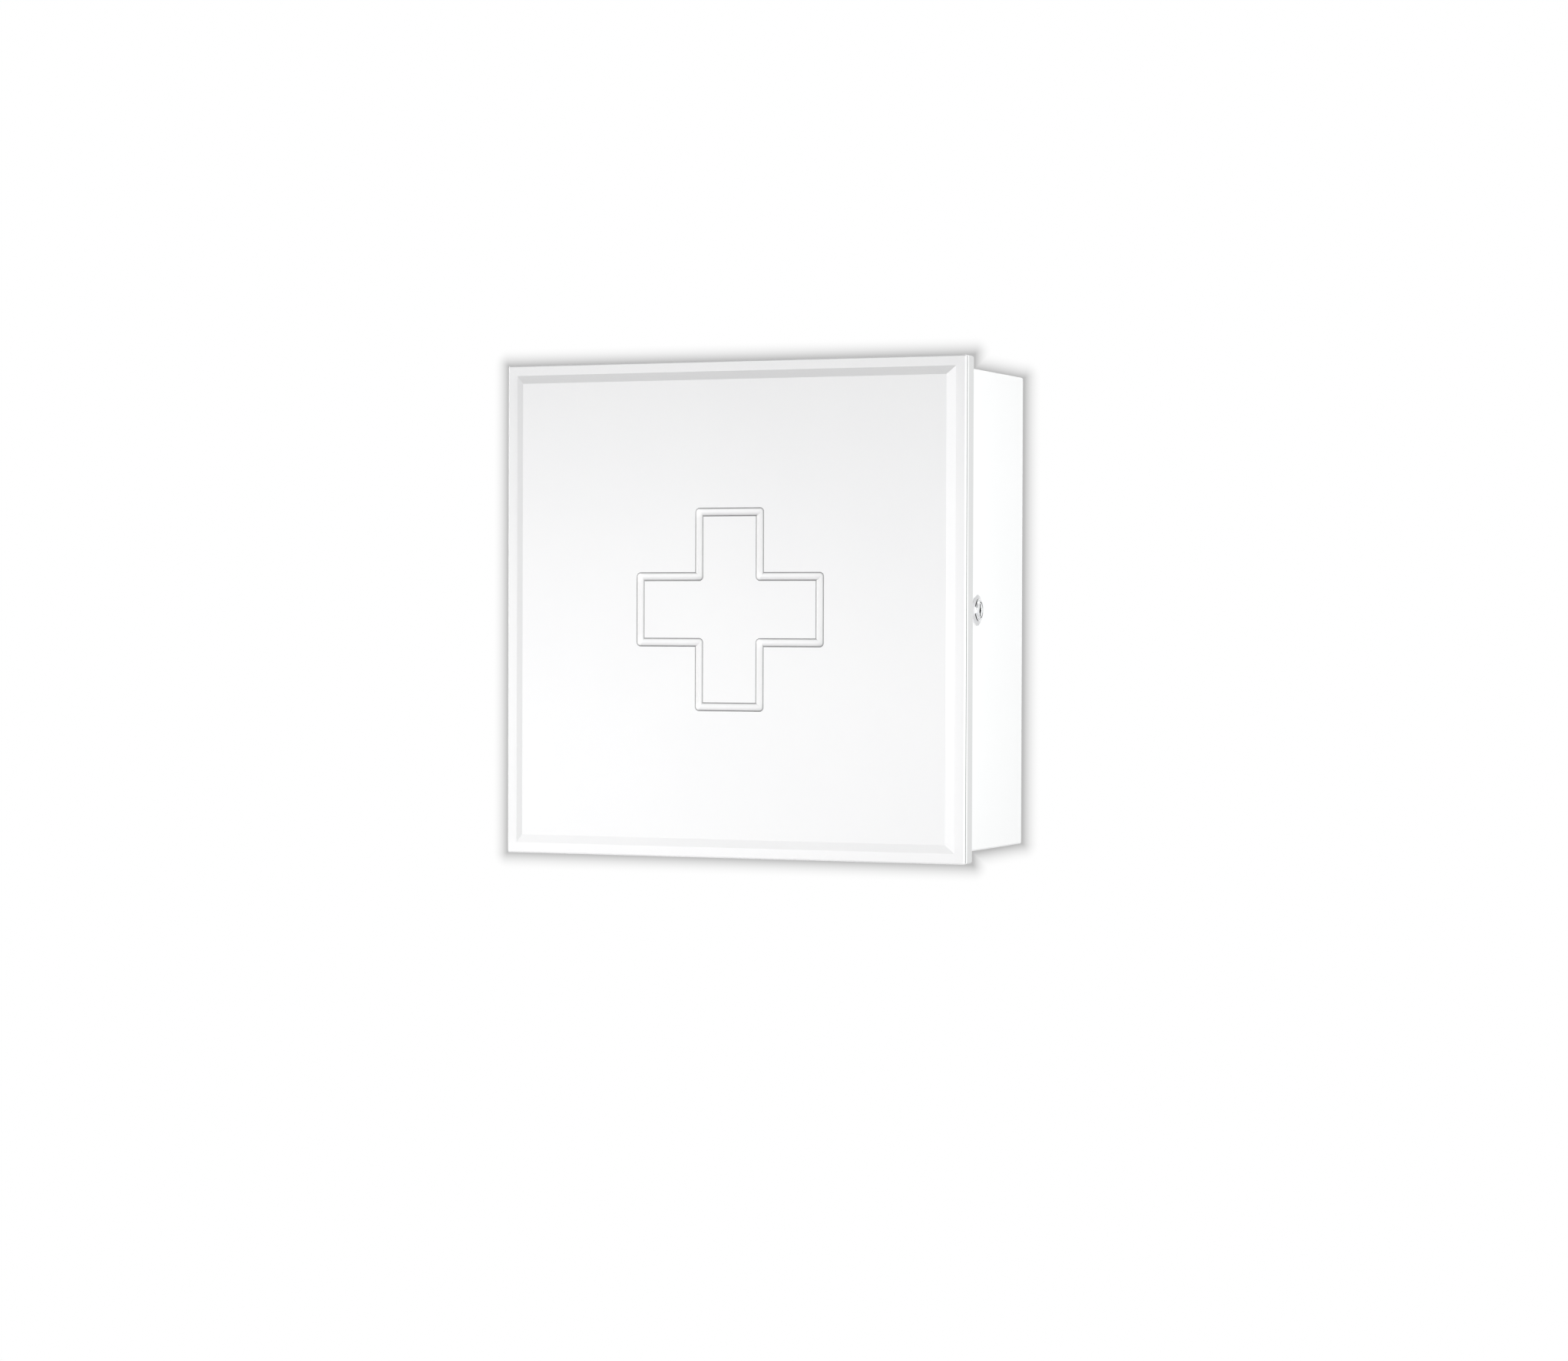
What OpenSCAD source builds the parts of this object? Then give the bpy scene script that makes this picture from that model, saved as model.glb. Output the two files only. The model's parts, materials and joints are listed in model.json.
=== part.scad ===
// Lockable wall cabinet for medicines, with one door and a cam lock in the right side wall.
//
// Axes: +X to the right as seen from the front, +Y into the wall, +Z up. The origin is the middle
// of the back face, on the wall, so the cabinet stands at negative Y. Millimetres.

/* [Door] */
// Width of the door
door_w = 300; // [270:5:400]
// Height of the door
door_h = 300; // [290:5:450]
// Thickness of the door, from its flat rim to its back
door_t = 14.5; // [12:0.5:20]
// How far the door reaches past the body on every side
overhang = 6.2; // [6:0.1:8]
// Gap between the closed door and the body, which holds the hinge leaf
door_gap = 2; // [1.8:0.1:3]
// Radius of the door's four corners, seen from the front
corner_r = 1.2; // [0.8:0.1:2]

/* [Door front board] */
// Thickness of the board at its rim
board_t = 1.6; // [1.4:0.1:3]
// Width of the flat rim
rim_w = 6.3; // [4:0.1:12]
// Width of the bevel between the rim and the raised panel
bevel_w = 5.1; // [3:0.1:10]
// Height of the raised panel over the rim
panel_rise = 2.5; // [2:0.1:3]
// Width of the chamfer round the board's front edge
chamfer = 0.8; // [0.4:0.1:1.2]

/* [Cross groove] */
// Height and width of the cross, along the middle of the groove
cross_size = 117.4; // [90:0.2:180]
// Width of each arm of the cross, along the middle of the groove
cross_arm = 39.7; // [30:0.1:50]
// Width of the groove at the panel's face
groove_w = 5.6; // [4:0.1:8]
// Depth of the groove
groove_depth = 2.2; // [1.5:0.1:2.6]

/* [Body] */
// Depth of the body, from its front edge to the wall
body_d = 106; // [100:1:160]
// Thickness of the sheet that the body, the door pan and the shelves are folded from
sheet_t = 1; // [0.8:0.1:1.2]
// Outer radius of the bends round the back of the body
back_bend_r = 3; // [2:0.1:4]
// Outer radius of the bends round the body's front edge
front_bend_r = 2; // [1.5:0.1:2.5]
// Radius of the corners between neighbouring walls
wall_corner_r = 1.2; // [1.1:0.1:2]
// Width of the flange that is folded inwards round the body's front
body_flange = 12; // [10:1:14]

/* [Door pan] */
// Outer radius of the bends round the front of the pan
pan_bend_r = 3.2; // [2:0.1:4]
// Outer radius of the bends round the back of the pan
pan_back_bend_r = 1.5; // [1.3:0.1:2]
// How much narrower the pan's side is at the back than at the front, on each side
pan_draft = 0.55; // [0.1:0.05:0.8]
// Width of the flange that is folded inwards round the back of the pan
pan_flange = 18; // [17:1:24]

/* [Shelves] */
// Height of the upper shelf over the middle, and of the lower shelf under it
shelf_z = 48; // [48:1:60]
// Depth of a shelf
shelf_d = 94; // [60:1:94]
// Height of the lip along a shelf's front edge
shelf_lip = 8; // [5:1:15]
// Outer radius of the bend between a shelf and its lip
shelf_bend_r = 2; // [1.5:0.1:3]

/* [Wall fixing] */
// Distance between the screw holes, across
fixing_x = 220; // [180:5:230]
// Distance between the screw holes, up and down
fixing_z = 220; // [180:5:230]
// Radius of each screw hole
fixing_r = 3; // [2:0.1:4]

/* [Hinges] */
// Length of each hinge
hinge_l = 50; // [40:1:56]
// Height of the hinges' middles over and under the cabinet's middle
hinge_z = 95; // [86:1:100]
// Thickness of a hinge leaf
leaf_t = 1.2; // [1:0.1:1.3]
// Outer radius of the rolled knuckles
knuckle_r = 2.6; // [2.4:0.1:2.6]
// Radius of the hinge pin
pin_r = 1.25; // [1:0.05:1.4]

/* [Lock] */
// Distance of the lock's axis behind the door's back
lock_back = 23; // [22.5:0.1:26]
// Diameter of the lock's flange on the outside of the wall
lock_flange_d = 18.5; // [16:0.1:22]
// Diameter of the flat ring at the top of the flange's cone
lock_ring_d = 13.2; // [12.5:0.1:14]
// Height of the flange over the wall
lock_flange_h = 1.8; // [1.2:0.1:3]
// Diameter of the plug's round face
plug_face_d = 10.6; // [10:0.1:11]
// Height of the keyway
keyway_h = 7; // [5:0.1:8]
// Diameter of the barrel over its thread
barrel_d = 14; // [14:0.5:16]
// Length of the barrel inside the cabinet, from the outside of the wall
barrel_l = 16; // [14:0.5:18]
// Distance from the lock's axis to the cam's tip
cam_l = 22; // [18:0.5:22]
// Width of the cam
cam_w = 10; // [8:0.5:10]

/* [Hidden] */
$fn = 64;

// Colours
powder_white = "#f3f4f5";
board_white = "#f6f6f6";
zinc = "#c3c6c8";
chrome = "#d8dadd";
brass = "#c9a64a";
rubber_grey = "#8a8d90";

// Planes from back to front, and the body's outer size
body_w = door_w - 2 * overhang;
body_h = door_h - 2 * overhang;
wall_x = body_w / 2;
body_front_y = -body_d;
door_back_y = body_front_y - door_gap;
rim_y = door_back_y - door_t;
panel_y = rim_y - panel_rise;
board_back_y = rim_y + board_t;

// A tool that is larger than what it cuts, and how far it reaches past a face
cut = 0.5;

// Hinge: the knuckles stand clear of the wall and of the door's back
knuckle_gap = 0.3;
pin_x = -(wall_x + knuckle_gap + knuckle_r);
pin_y = door_back_y + knuckle_gap + knuckle_r;
pin_clearance = 0.05;
leaf_w = 17;
door_leaf_edge_x = pin_x + 13.7;
end_knuckle_l = hinge_l * 0.3;
knuckle_end_gap = 0.3;
rivet_r = 1.5;
rivet_pitch = 17;
body_rivet_y = pin_y + 11;
door_rivet_x = pin_x + 8.7;

// Lock: heights and lengths are measured along X from the outside of the wall
lock_y = door_back_y + lock_back;
lock_z = 0;
plug_proud = 0.3;
plug_head_l = 1;
plug_clearance = 0.05;
plug_face_r = plug_face_d / 2;
plug_r = plug_face_r - 0.5;
plug_end = barrel_l + 0.5;
flat_half = barrel_d / 2 - 1;
cam_t = 2;
stub_w = 6;
cam_screw_r = 2;
cam_screw_hole = 7;
cam_screw_end_gap = 0.5;
cam_washer_t = 0.8;
wafer_w = 4;
wafer_h = 8.4;
wafer_t = 0.8;
wafer_pitch = 1.8;
wafer_first = 2.4;
lock_washer_t = 0.6;
nut_t = 3;
nut_across_flats = 17;

// Strike: a plate on the door, a tongue that reaches back over the lock, and a lip behind the cam
strike_t = 1.5;
strike_left_x = wall_x - 25.8;
strike_right_x = wall_x + 2.2;
tongue_right_x = wall_x - 14.3;
strike_low_z = cam_l + 2.5;
strike_high_z = strike_low_z + 19.5;
lip_low_z = 10;
lip_y = lock_y + cam_w / 2 + 1;
strike_rivet_x = wall_x - 4.3;

// Shelves: a little narrower than the body's inside, and clear of its back
shelf_w = body_w - 2 * sheet_t - 1;
shelf_front_y = -2 * sheet_t - shelf_d;

// Buffers
buffer_r = 4;
buffer_t = door_gap - 0.2;

// ---- Shared shapes ----

// A rectangle from front to back whose sides lean in towards the back by lean. Its front and back
// corners are rounded by true arcs, and the leaning side is a tangent of the front arc.
module side_outline(half, front, back, front_r, back_r, lean = 0) {
    angle = atan(lean / (back - front));
    start = [half - front_r + front_r * cos(angle), front + front_r + front_r * sin(angle)];
    low_x = half - lean - back_r;
    for (side = [-1, 1]) {
        translate([side * (half - front_r), front + front_r]) circle(front_r);
        translate([side * low_x, back - back_r]) circle(back_r);
    }
    polygon([
        [-half + front_r, front], [half - front_r, front],
        start, [half - lean, back - back_r],
        [low_x, back], [-low_x, back],
        [-half + lean, back - back_r], [-start[0], start[1]]
    ]);
}

// A rectangle in X and Z with four round corners
module round_rect(w, h, r) {
    square([w - 2 * r, h], center = true);
    square([w, h - 2 * r], center = true);
    for (x = [-1, 1], z = [-1, 1])
        translate([x * (w / 2 - r), z * (h / 2 - r)]) circle(r);
}

// The solid whose outline is the same seen from above and from the side
module seen_both_ways(w, h) {
    intersection() {
        linear_extrude(height = h, center = true) children(0);
        rotate([0, -90, 0]) linear_extrude(height = w, center = true) children(1);
    }
}

// A round-cornered block between two planes across Y
module corner_block(w, h, front, back, r) {
    translate([0, back, 0]) rotate([90, 0, 0])
        linear_extrude(height = back - front) round_rect(w, h, r);
}

// A block as a folded sheet encloses it
module folded_block(w, h, front, back, front_r, back_r, side_r, lean = 0) {
    intersection() {
        seen_both_ways(w, h) {
            side_outline(w / 2, front, back, front_r, back_r, lean);
            side_outline(h / 2, front, back, front_r, back_r, lean);
        }
        corner_block(w, h, front - cut, back + cut, side_r);
    }
}

// The same block as a hollow sheet
module folded_shell(w, h, front, back, front_r, back_r, side_r, lean = 0) {
    difference() {
        folded_block(w, h, front, back, front_r, back_r, side_r, lean);
        folded_block(w - 2 * sheet_t, h - 2 * sheet_t, front + sheet_t, back - sheet_t,
            front_r - sheet_t, back_r - sheet_t, max(side_r - sheet_t, 0.1), lean);
    }
}

// Places a drawing of Y and Z at the lock's axis, and runs it along X from the wall's outside
module at_lock(from) {
    translate([wall_x + from, lock_y, lock_z]) rotate([90, 0, 90]) children();
}

// ---- Body ----

// The body's folded shell between two planes across Y
module shell_between(front, back) {
    intersection() {
        folded_shell(body_w, body_h, body_front_y, 0, front_bend_r, back_bend_r, wall_corner_r);
        translate([-body_w, front, -body_h]) cube([2 * body_w, back - front, 2 * body_h]);
    }
}

// The back with the bends round it, up to where the walls are welded on
module body_back() {
    color(powder_white)
    difference() {
        shell_between(-back_bend_r, 0);
        // Screw holes to the wall
        for (x = [-1, 1], z = [-1, 1])
            translate([x * fixing_x / 2, cut, z * fixing_z / 2])
                rotate([90, 0, 0]) cylinder(h = sheet_t + 2 * cut, r = fixing_r);
    }
}

// The flange round the opening, with the bends that lead to the walls
module body_front_frame() {
    color(powder_white)
    difference() {
        shell_between(body_front_y, body_front_y + front_bend_r);
        translate([-wall_x + body_flange, body_front_y - cut, -body_h / 2 + body_flange])
            cube([body_w - 2 * body_flange, sheet_t + 2 * cut, body_h - 2 * body_flange]);
    }
}

// One of the four walls. mitre is the outline in X and Z that it is cut from, whose slanting edges
// run through the body's corners.
module body_wall(mitre) {
    inner_r = max(wall_corner_r - sheet_t, 0.1);
    color(powder_white)
    translate([0, -back_bend_r, 0]) rotate([90, 0, 0])
        linear_extrude(height = body_d - back_bend_r - front_bend_r)
            intersection() {
                difference() {
                    round_rect(body_w, body_h, wall_corner_r);
                    round_rect(body_w - 2 * sheet_t, body_h - 2 * sheet_t, inner_r);
                }
                polygon(mitre);
            }
}

// Outline that holds one side wall (side is -1 or 1), and the top or the bottom wall
function side_mitre(side) = let (out = 5, deep = 20, w = body_w / 2, h = body_h / 2) [
    [side * (w + out), h + out], [side * (w - deep), h - deep],
    [side * (w - deep), deep - h], [side * (w + out), -h - out]
];
function level_mitre(side) = let (out = 5, deep = 20, w = body_w / 2, h = body_h / 2) [
    [w + out, side * (h + out)], [w - deep, side * (h - deep)],
    [deep - w, side * (h - deep)], [-w - out, side * (h + out)]
];

module body_left_side() {
    color(powder_white)
    difference() {
        body_wall(side_mitre(-1));
        // Rivet holes of the hinges
        for (z = [-hinge_z, hinge_z], i = [-1, 0, 1])
            translate([-wall_x - cut, body_rivet_y, z + i * rivet_pitch])
                rotate([0, 90, 0]) cylinder(h = sheet_t + 2 * cut, r = rivet_r);
    }
}

module body_right_side() {
    color(powder_white)
    difference() {
        body_wall(side_mitre(1));
        // Hole with two flats for the lock
        at_lock(-sheet_t - cut) linear_extrude(height = sheet_t + 2 * cut) barrel_section(0.05);
    }
}

module body_top() {
    body_wall(level_mitre(1));
}

module body_bottom() {
    body_wall(level_mitre(-1));
}

// A shelf with its underside at height 0
module shelf() {
    color(powder_white)
    translate([0, shelf_front_y, 0]) rotate([90, 0, 90])
        linear_extrude(height = shelf_w, center = true)
            difference() {
                union() {
                    translate([shelf_bend_r, 0]) square([shelf_d - shelf_bend_r, shelf_bend_r]);
                    translate([0, shelf_bend_r]) square([shelf_bend_r, shelf_lip - shelf_bend_r]);
                    translate([shelf_bend_r, shelf_bend_r]) circle(shelf_bend_r);
                }
                translate([sheet_t, shelf_bend_r]) square([shelf_d, shelf_lip]);
                translate([shelf_bend_r, sheet_t]) square([shelf_d, shelf_lip]);
                translate([shelf_bend_r, shelf_bend_r]) circle(shelf_bend_r - sheet_t);
            }
}

// Angle strips under the shelves: one leg on the wall, one under the shelf
module shelf_brackets() {
    leg = 10;
    setback = 6;
    inner_x = wall_x - sheet_t;
    color(powder_white)
    for (side = [-1, 1], z = [-shelf_z, shelf_z])
        translate([side * inner_x, shelf_front_y + setback, z])
            for (size = [[sheet_t, leg], [leg, sheet_t]])
                translate([side < 0 ? 0 : -size[0], 0, -size[1]])
                    cube([size[0], shelf_d - 2 * setback, size[1]]);
}

module door_buffers() {
    reach_x = wall_x - body_flange / 2;
    reach_z = body_h / 2 - body_flange / 2;
    color(rubber_grey)
    for (x = [-1, 1], z = [-1, 1])
        translate([x * reach_x, body_front_y, z * reach_z])
            rotate([90, 0, 0]) cylinder(h = buffer_t, r = buffer_r);
}

// ---- Door ----

module door_pan() {
    opening_w = door_w - 2 * pan_draft - 2 * pan_flange;
    opening_h = door_h - 2 * pan_draft - 2 * pan_flange;
    color(powder_white)
    difference() {
        folded_shell(door_w, door_h, board_back_y, door_back_y,
            pan_bend_r, pan_back_bend_r, corner_r, pan_draft);
        // Opening inside the back flange
        translate([-opening_w / 2, door_back_y - sheet_t - cut, -opening_h / 2])
            cube([opening_w, sheet_t + 2 * cut, opening_h]);
        // Rivet holes of the hinges and of the strike
        for (z = [-hinge_z, hinge_z], i = [-1, 0, 1])
            translate([door_rivet_x, door_back_y + cut, z + i * rivet_pitch]) flange_hole();
        for (z = strike_rivet_heights())
            translate([strike_rivet_x, door_back_y + cut, z]) flange_hole();
    }
}

module flange_hole() {
    rotate([90, 0, 0]) cylinder(h = sheet_t + 2 * cut, r = rivet_r);
}

// Seen from above: back, chamfered edge, flat rim, bevel and raised panel
function board_outline(half) = let (
    right = [
        [half, board_back_y],
        [half, rim_y + chamfer],
        [half - chamfer, rim_y],
        [half - rim_w, rim_y],
        [half - rim_w - bevel_w, panel_y]
    ]
) concat(right, [for (i = [len(right) - 1 : -1 : 0]) [-right[i][0], right[i][1]]]);

// Corners of the cross, in X and Z, along the middle of the groove
function cross_path() = let (far = cross_size / 2, near = cross_arm / 2) [
    [near, far], [near, near], [far, near], [far, -near], [near, -near], [near, -far],
    [-near, -far], [-near, -near], [-far, -near], [-far, near], [-near, near], [-near, far]
];

module door_front_board() {
    color(board_white)
    difference() {
        intersection() {
            seen_both_ways(door_w, door_h) {
                polygon(board_outline(door_w / 2));
                polygon(board_outline(door_h / 2));
            }
            corner_block(door_w, door_h, panel_y - cut, board_back_y + cut, corner_r);
        }
        cross_groove();
    }
}

// What a round-nosed cutter takes away on its way round the cross: a rod along every side and a
// ball at every corner. The cutter's radius follows from the groove's width and depth.
module cross_groove() {
    cutter_r = (pow(groove_w / 2, 2) + pow(groove_depth, 2)) / (2 * groove_depth);
    path = cross_path();
    translate([0, panel_y + groove_depth - cutter_r, 0])
        for (i = [0 : len(path) - 1]) {
            step = path[(i + 1) % len(path)] - path[i];
            translate([path[i][0], 0, path[i][1]]) {
                sphere(cutter_r);
                rotate([0, atan2(step[0], step[1]), 0]) cylinder(h = norm(step), r = cutter_r);
            }
        }
}

// ---- Hinges ----

// Part of the rolled barrel, from one height to another
module knuckle(low, high, bore_r) {
    translate([pin_x, pin_y, low]) difference() {
        cylinder(h = high - low, r = knuckle_r);
        translate([0, 0, -cut]) cylinder(h = high - low + 2 * cut, r = bore_r);
    }
}

module pin_room(low, high, r) {
    translate([pin_x, pin_y, low - cut]) cylinder(h = high - low + 2 * cut, r = r);
}

// Leaf on the outside of the left wall, with the two end knuckles
module hinge_body_leaf(z) {
    low = z - hinge_l / 2;
    high = z + hinge_l / 2;
    outer_x = -wall_x - leaf_t;
    color(zinc)
    difference() {
        union() {
            translate([outer_x, pin_y, low]) cube([leaf_t, leaf_w, hinge_l]);
            knuckle(low, low + end_knuckle_l, pin_r);
            knuckle(high - end_knuckle_l, high, pin_r);
        }
        // Room for the door leaf's knuckle, and for the pin
        translate([outer_x - cut, pin_y - knuckle_r, low + end_knuckle_l])
            cube([leaf_t + 2 * cut, 2 * knuckle_r + 0.5, hinge_l - 2 * end_knuckle_l]);
        pin_room(low, high, pin_r);
        for (i = [-1, 0, 1])
            translate([outer_x - cut, body_rivet_y, z + i * rivet_pitch])
                rotate([0, 90, 0]) cylinder(h = leaf_t + 2 * cut, r = rivet_r);
    }
}

// Leaf on the back of the door, with the middle knuckle
module hinge_door_leaf(z) {
    low = z - hinge_l / 2;
    high = z + hinge_l / 2;
    middle_low = low + end_knuckle_l + knuckle_end_gap;
    middle_high = high - end_knuckle_l - knuckle_end_gap;
    near_x = pin_x + knuckle_r + 0.5;
    color(zinc)
    difference() {
        union() {
            translate([near_x, door_back_y, low])
                cube([door_leaf_edge_x - near_x, leaf_t, hinge_l]);
            translate([pin_x, door_back_y, middle_low])
                cube([near_x - pin_x + cut, leaf_t, middle_high - middle_low]);
            knuckle(middle_low, middle_high, pin_r + pin_clearance);
        }
        pin_room(middle_low, middle_high, pin_r + pin_clearance);
        for (i = [-1, 0, 1])
            translate([door_rivet_x, door_back_y, z + i * rivet_pitch]) flush_head(cut);
    }
}

module hinge_pin(z) {
    color(zinc)
    translate([pin_x, pin_y, z - hinge_l / 2]) {
        cylinder(h = hinge_l, r = pin_r);
        // Riveted-over ends
        for (end = [-0.5, hinge_l])
            translate([0, 0, end]) cylinder(h = 0.5, r = pin_r + 0.4);
    }
}

// Shank and countersunk head of a rivet in the door leaf, with the head flush with the leaf.
// past is how far the same shape reaches out of both sides of the leaf when it cuts the hole.
module flush_head(past = 0) {
    head_h = 0.8;
    head_r = rivet_r + head_h;
    rotate([-90, 0, 0]) {
        translate([0, 0, -past]) cylinder(h = leaf_t + past, r = rivet_r);
        translate([0, 0, leaf_t - head_h]) cylinder(h = head_h, r1 = rivet_r, r2 = head_r);
        if (past > 0) translate([0, 0, leaf_t]) cylinder(h = past, r = head_r);
    }
}

// A low round head or a flattened tail
module rivet_button(r, h) {
    cylinder(h = h * 0.4, r = r);
    translate([0, 0, h * 0.4]) cylinder(h = h * 0.6, r1 = r, r2 = r * 0.6);
}

module hinge_body_rivets() {
    color(zinc)
    for (z = [-hinge_z, hinge_z], i = [-1, 0, 1])
        translate([-wall_x, body_rivet_y, z + i * rivet_pitch]) {
            translate([-leaf_t, 0, 0]) rotate([0, 90, 0]) cylinder(h = leaf_t + sheet_t, r = rivet_r);
            translate([-leaf_t, 0, 0]) rotate([0, -90, 0]) rivet_button(2.8, 1.2);
            translate([sheet_t, 0, 0]) rotate([0, 90, 0]) rivet_button(2.4, 1);
        }
}

module hinge_door_rivets() {
    color(zinc)
    for (z = [-hinge_z, hinge_z], i = [-1, 0, 1])
        translate([door_rivet_x, door_back_y, z + i * rivet_pitch]) {
            flush_head();
            rotate([90, 0, 0]) cylinder(h = sheet_t, r = rivet_r);
            translate([0, -sheet_t, 0]) rotate([90, 0, 0]) rivet_button(2.4, 1);
        }
}

// ---- Lock ----

// The barrel's round section with a flat on either side
module barrel_section(extra = 0) {
    intersection() {
        circle(barrel_d / 2 + extra);
        square([2 * (flat_half + extra), barrel_d + 1], center = true);
    }
}

module lock_housing() {
    base_h = 0.4;
    flange_r = lock_flange_d / 2;
    ring_r = lock_ring_d / 2;
    color(chrome)
    difference() {
        union() {
            at_lock(0) cylinder(h = base_h, r = flange_r);
            at_lock(base_h) cylinder(h = lock_flange_h - base_h, r1 = flange_r, r2 = ring_r);
            at_lock(-barrel_l) linear_extrude(height = barrel_l + base_h / 2) barrel_section();
        }
        // Bore for the plug, with a wider seat for the plug's head
        at_lock(-barrel_l - cut)
            cylinder(h = barrel_l + lock_flange_h + 2 * cut, r = plug_r + plug_clearance);
        at_lock(-plug_head_l)
            cylinder(h = plug_head_l + lock_flange_h + cut, r = plug_face_r + plug_clearance);
        // Grooves above and below, which the wafers reach into when the lock is shut
        at_lock(-barrel_l - cut) linear_extrude(height = barrel_l + cut - plug_head_l - 0.5)
            square([wafer_w + 0.4, 2 * plug_r + 2.2], center = true);
    }
}

// A thin slot with a wider curve to one side in the middle
module keyway() {
    square([0.8, keyway_h], center = true);
    translate([0.45, 0.3]) circle(0.85);
    translate([0, -0.8]) circle(0.7);
}

module lock_plug() {
    face = lock_flange_h + plug_proud;
    color(chrome)
    difference() {
        union() {
            at_lock(-plug_head_l) cylinder(h = plug_head_l + face, r = plug_face_r);
            at_lock(-plug_end) cylinder(h = plug_end, r = plug_r);
            at_lock(-plug_end - cam_t) linear_extrude(height = cam_t + cut)
                square(stub_w, center = true);
        }
        at_lock(-10) linear_extrude(height = 10 + face + cut) keyway();
        for (i = [0 : 4])
            at_lock(-wafer_first - i * wafer_pitch - wafer_t - 0.1)
                linear_extrude(height = wafer_t + 0.2)
                    square([wafer_w + 0.2, 2 * plug_r + 1], center = true);
        at_lock(-plug_end - cam_t - cut)
            cylinder(h = cam_screw_hole + cut, r = cam_screw_r);
    }
}

// Five plates with windows at different heights, one for each cut of the key
module lock_wafers() {
    heights = [0.4, -0.4, 0.1, -0.2, 0.5];
    color(brass)
    for (i = [0 : 4])
        at_lock(-wafer_first - i * wafer_pitch - wafer_t) linear_extrude(height = wafer_t)
            difference() {
                square([wafer_w, wafer_h], center = true);
                translate([0, heights[i]]) square([2.2, 6], center = true);
            }
}

module lock_washer() {
    teeth = 12;
    color(zinc)
    at_lock(-sheet_t - lock_washer_t) linear_extrude(height = lock_washer_t)
        difference() {
            circle(barrel_d / 2 + 3);
            circle(barrel_d / 2 + 0.1);
            for (i = [0 : teeth - 1])
                rotate(i * 360 / teeth) translate([barrel_d / 2 + 3, 0])
                    rotate(45) square(1.4, center = true);
        }
}

module lock_nut() {
    color(zinc)
    difference() {
        at_lock(-sheet_t - lock_washer_t - nut_t)
            cylinder(h = nut_t, r = nut_across_flats / 2 / cos(30), $fn = 6);
        at_lock(-sheet_t - lock_washer_t - nut_t - cut)
            cylinder(h = nut_t + 2 * cut, r = barrel_d / 2);
    }
}

// Flat arm that points down when the lock is open
module lock_cam() {
    color(zinc)
    at_lock(-plug_end - cam_t) linear_extrude(height = cam_t)
        difference() {
            union() {
                circle(cam_w / 2);
                translate([-cam_w / 2, cam_w / 2 - cam_l]) square([cam_w, cam_l - cam_w / 2]);
                translate([0, cam_w / 2 - cam_l]) circle(cam_w / 2);
            }
            square(stub_w, center = true);
        }
}

module cam_washer() {
    color(zinc)
    at_lock(-plug_end - cam_t - cam_washer_t) linear_extrude(height = cam_washer_t)
        difference() {
            circle(4.4);
            circle(cam_screw_r + 0.1);
        }
}

module cam_screw() {
    under_head = plug_end + cam_t + cam_washer_t;
    shank_l = cam_washer_t + cam_screw_hole - cam_screw_end_gap;
    head_h = 2.2;
    color(zinc)
    difference() {
        union() {
            at_lock(-under_head) cylinder(h = shank_l, r = cam_screw_r);
            at_lock(-under_head - head_h) cylinder(h = head_h, r = 3.6);
        }
        // Cross recess
        for (turn = [0, 90])
            at_lock(-under_head - head_h - cut) rotate(turn)
                linear_extrude(height = 1.2 + cut) square([0.8, 4], center = true);
    }
}

// ---- Strike ----

function strike_rivet_heights() = [strike_low_z + 6, strike_high_z - 5];

module strike_bracket() {
    tongue_w = tongue_right_x - strike_left_x;
    color(zinc)
    difference() {
        union() {
            translate([strike_left_x, door_back_y, strike_low_z])
                cube([strike_right_x - strike_left_x, strike_t, strike_high_z - strike_low_z]);
            translate([strike_left_x, door_back_y, strike_low_z])
                cube([tongue_w, lip_y + strike_t - door_back_y, strike_t]);
            translate([strike_left_x, lip_y, lip_low_z])
                cube([tongue_w, strike_t, strike_low_z + strike_t - lip_low_z]);
        }
        for (z = strike_rivet_heights())
            translate([strike_rivet_x, door_back_y - cut, z])
                rotate([-90, 0, 0]) cylinder(h = strike_t + 2 * cut, r = rivet_r + 1);
    }
}

// Rivets whose heads lie inside the strike's thickness
module strike_rivets() {
    color(zinc)
    for (z = strike_rivet_heights())
        translate([strike_rivet_x, door_back_y, z]) {
            rotate([-90, 0, 0]) cylinder(h = strike_t, r = rivet_r + 1);
            rotate([90, 0, 0]) cylinder(h = sheet_t, r = rivet_r);
            translate([0, -sheet_t, 0]) rotate([90, 0, 0]) rivet_button(2.4, 1);
        }
}

body_back();
body_front_frame();
body_left_side();
body_right_side();
body_top();
body_bottom();
translate([0, 0, shelf_z]) shelf();  // upper_shelf
translate([0, 0, -shelf_z]) shelf();  // lower_shelf
shelf_brackets();
door_buffers();
door_pan();
door_front_board();
hinge_body_leaf(hinge_z);  // upper_hinge_body_leaf
hinge_door_leaf(hinge_z);  // upper_hinge_door_leaf
hinge_pin(hinge_z);  // upper_hinge_pin
hinge_body_leaf(-hinge_z);  // lower_hinge_body_leaf
hinge_door_leaf(-hinge_z);  // lower_hinge_door_leaf
hinge_pin(-hinge_z);  // lower_hinge_pin
hinge_body_rivets();
hinge_door_rivets();
lock_housing();
lock_plug();
lock_wafers();
lock_washer();
lock_nut();
lock_cam();
cam_washer();
cam_screw();
strike_bracket();
strike_rivets();
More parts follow.
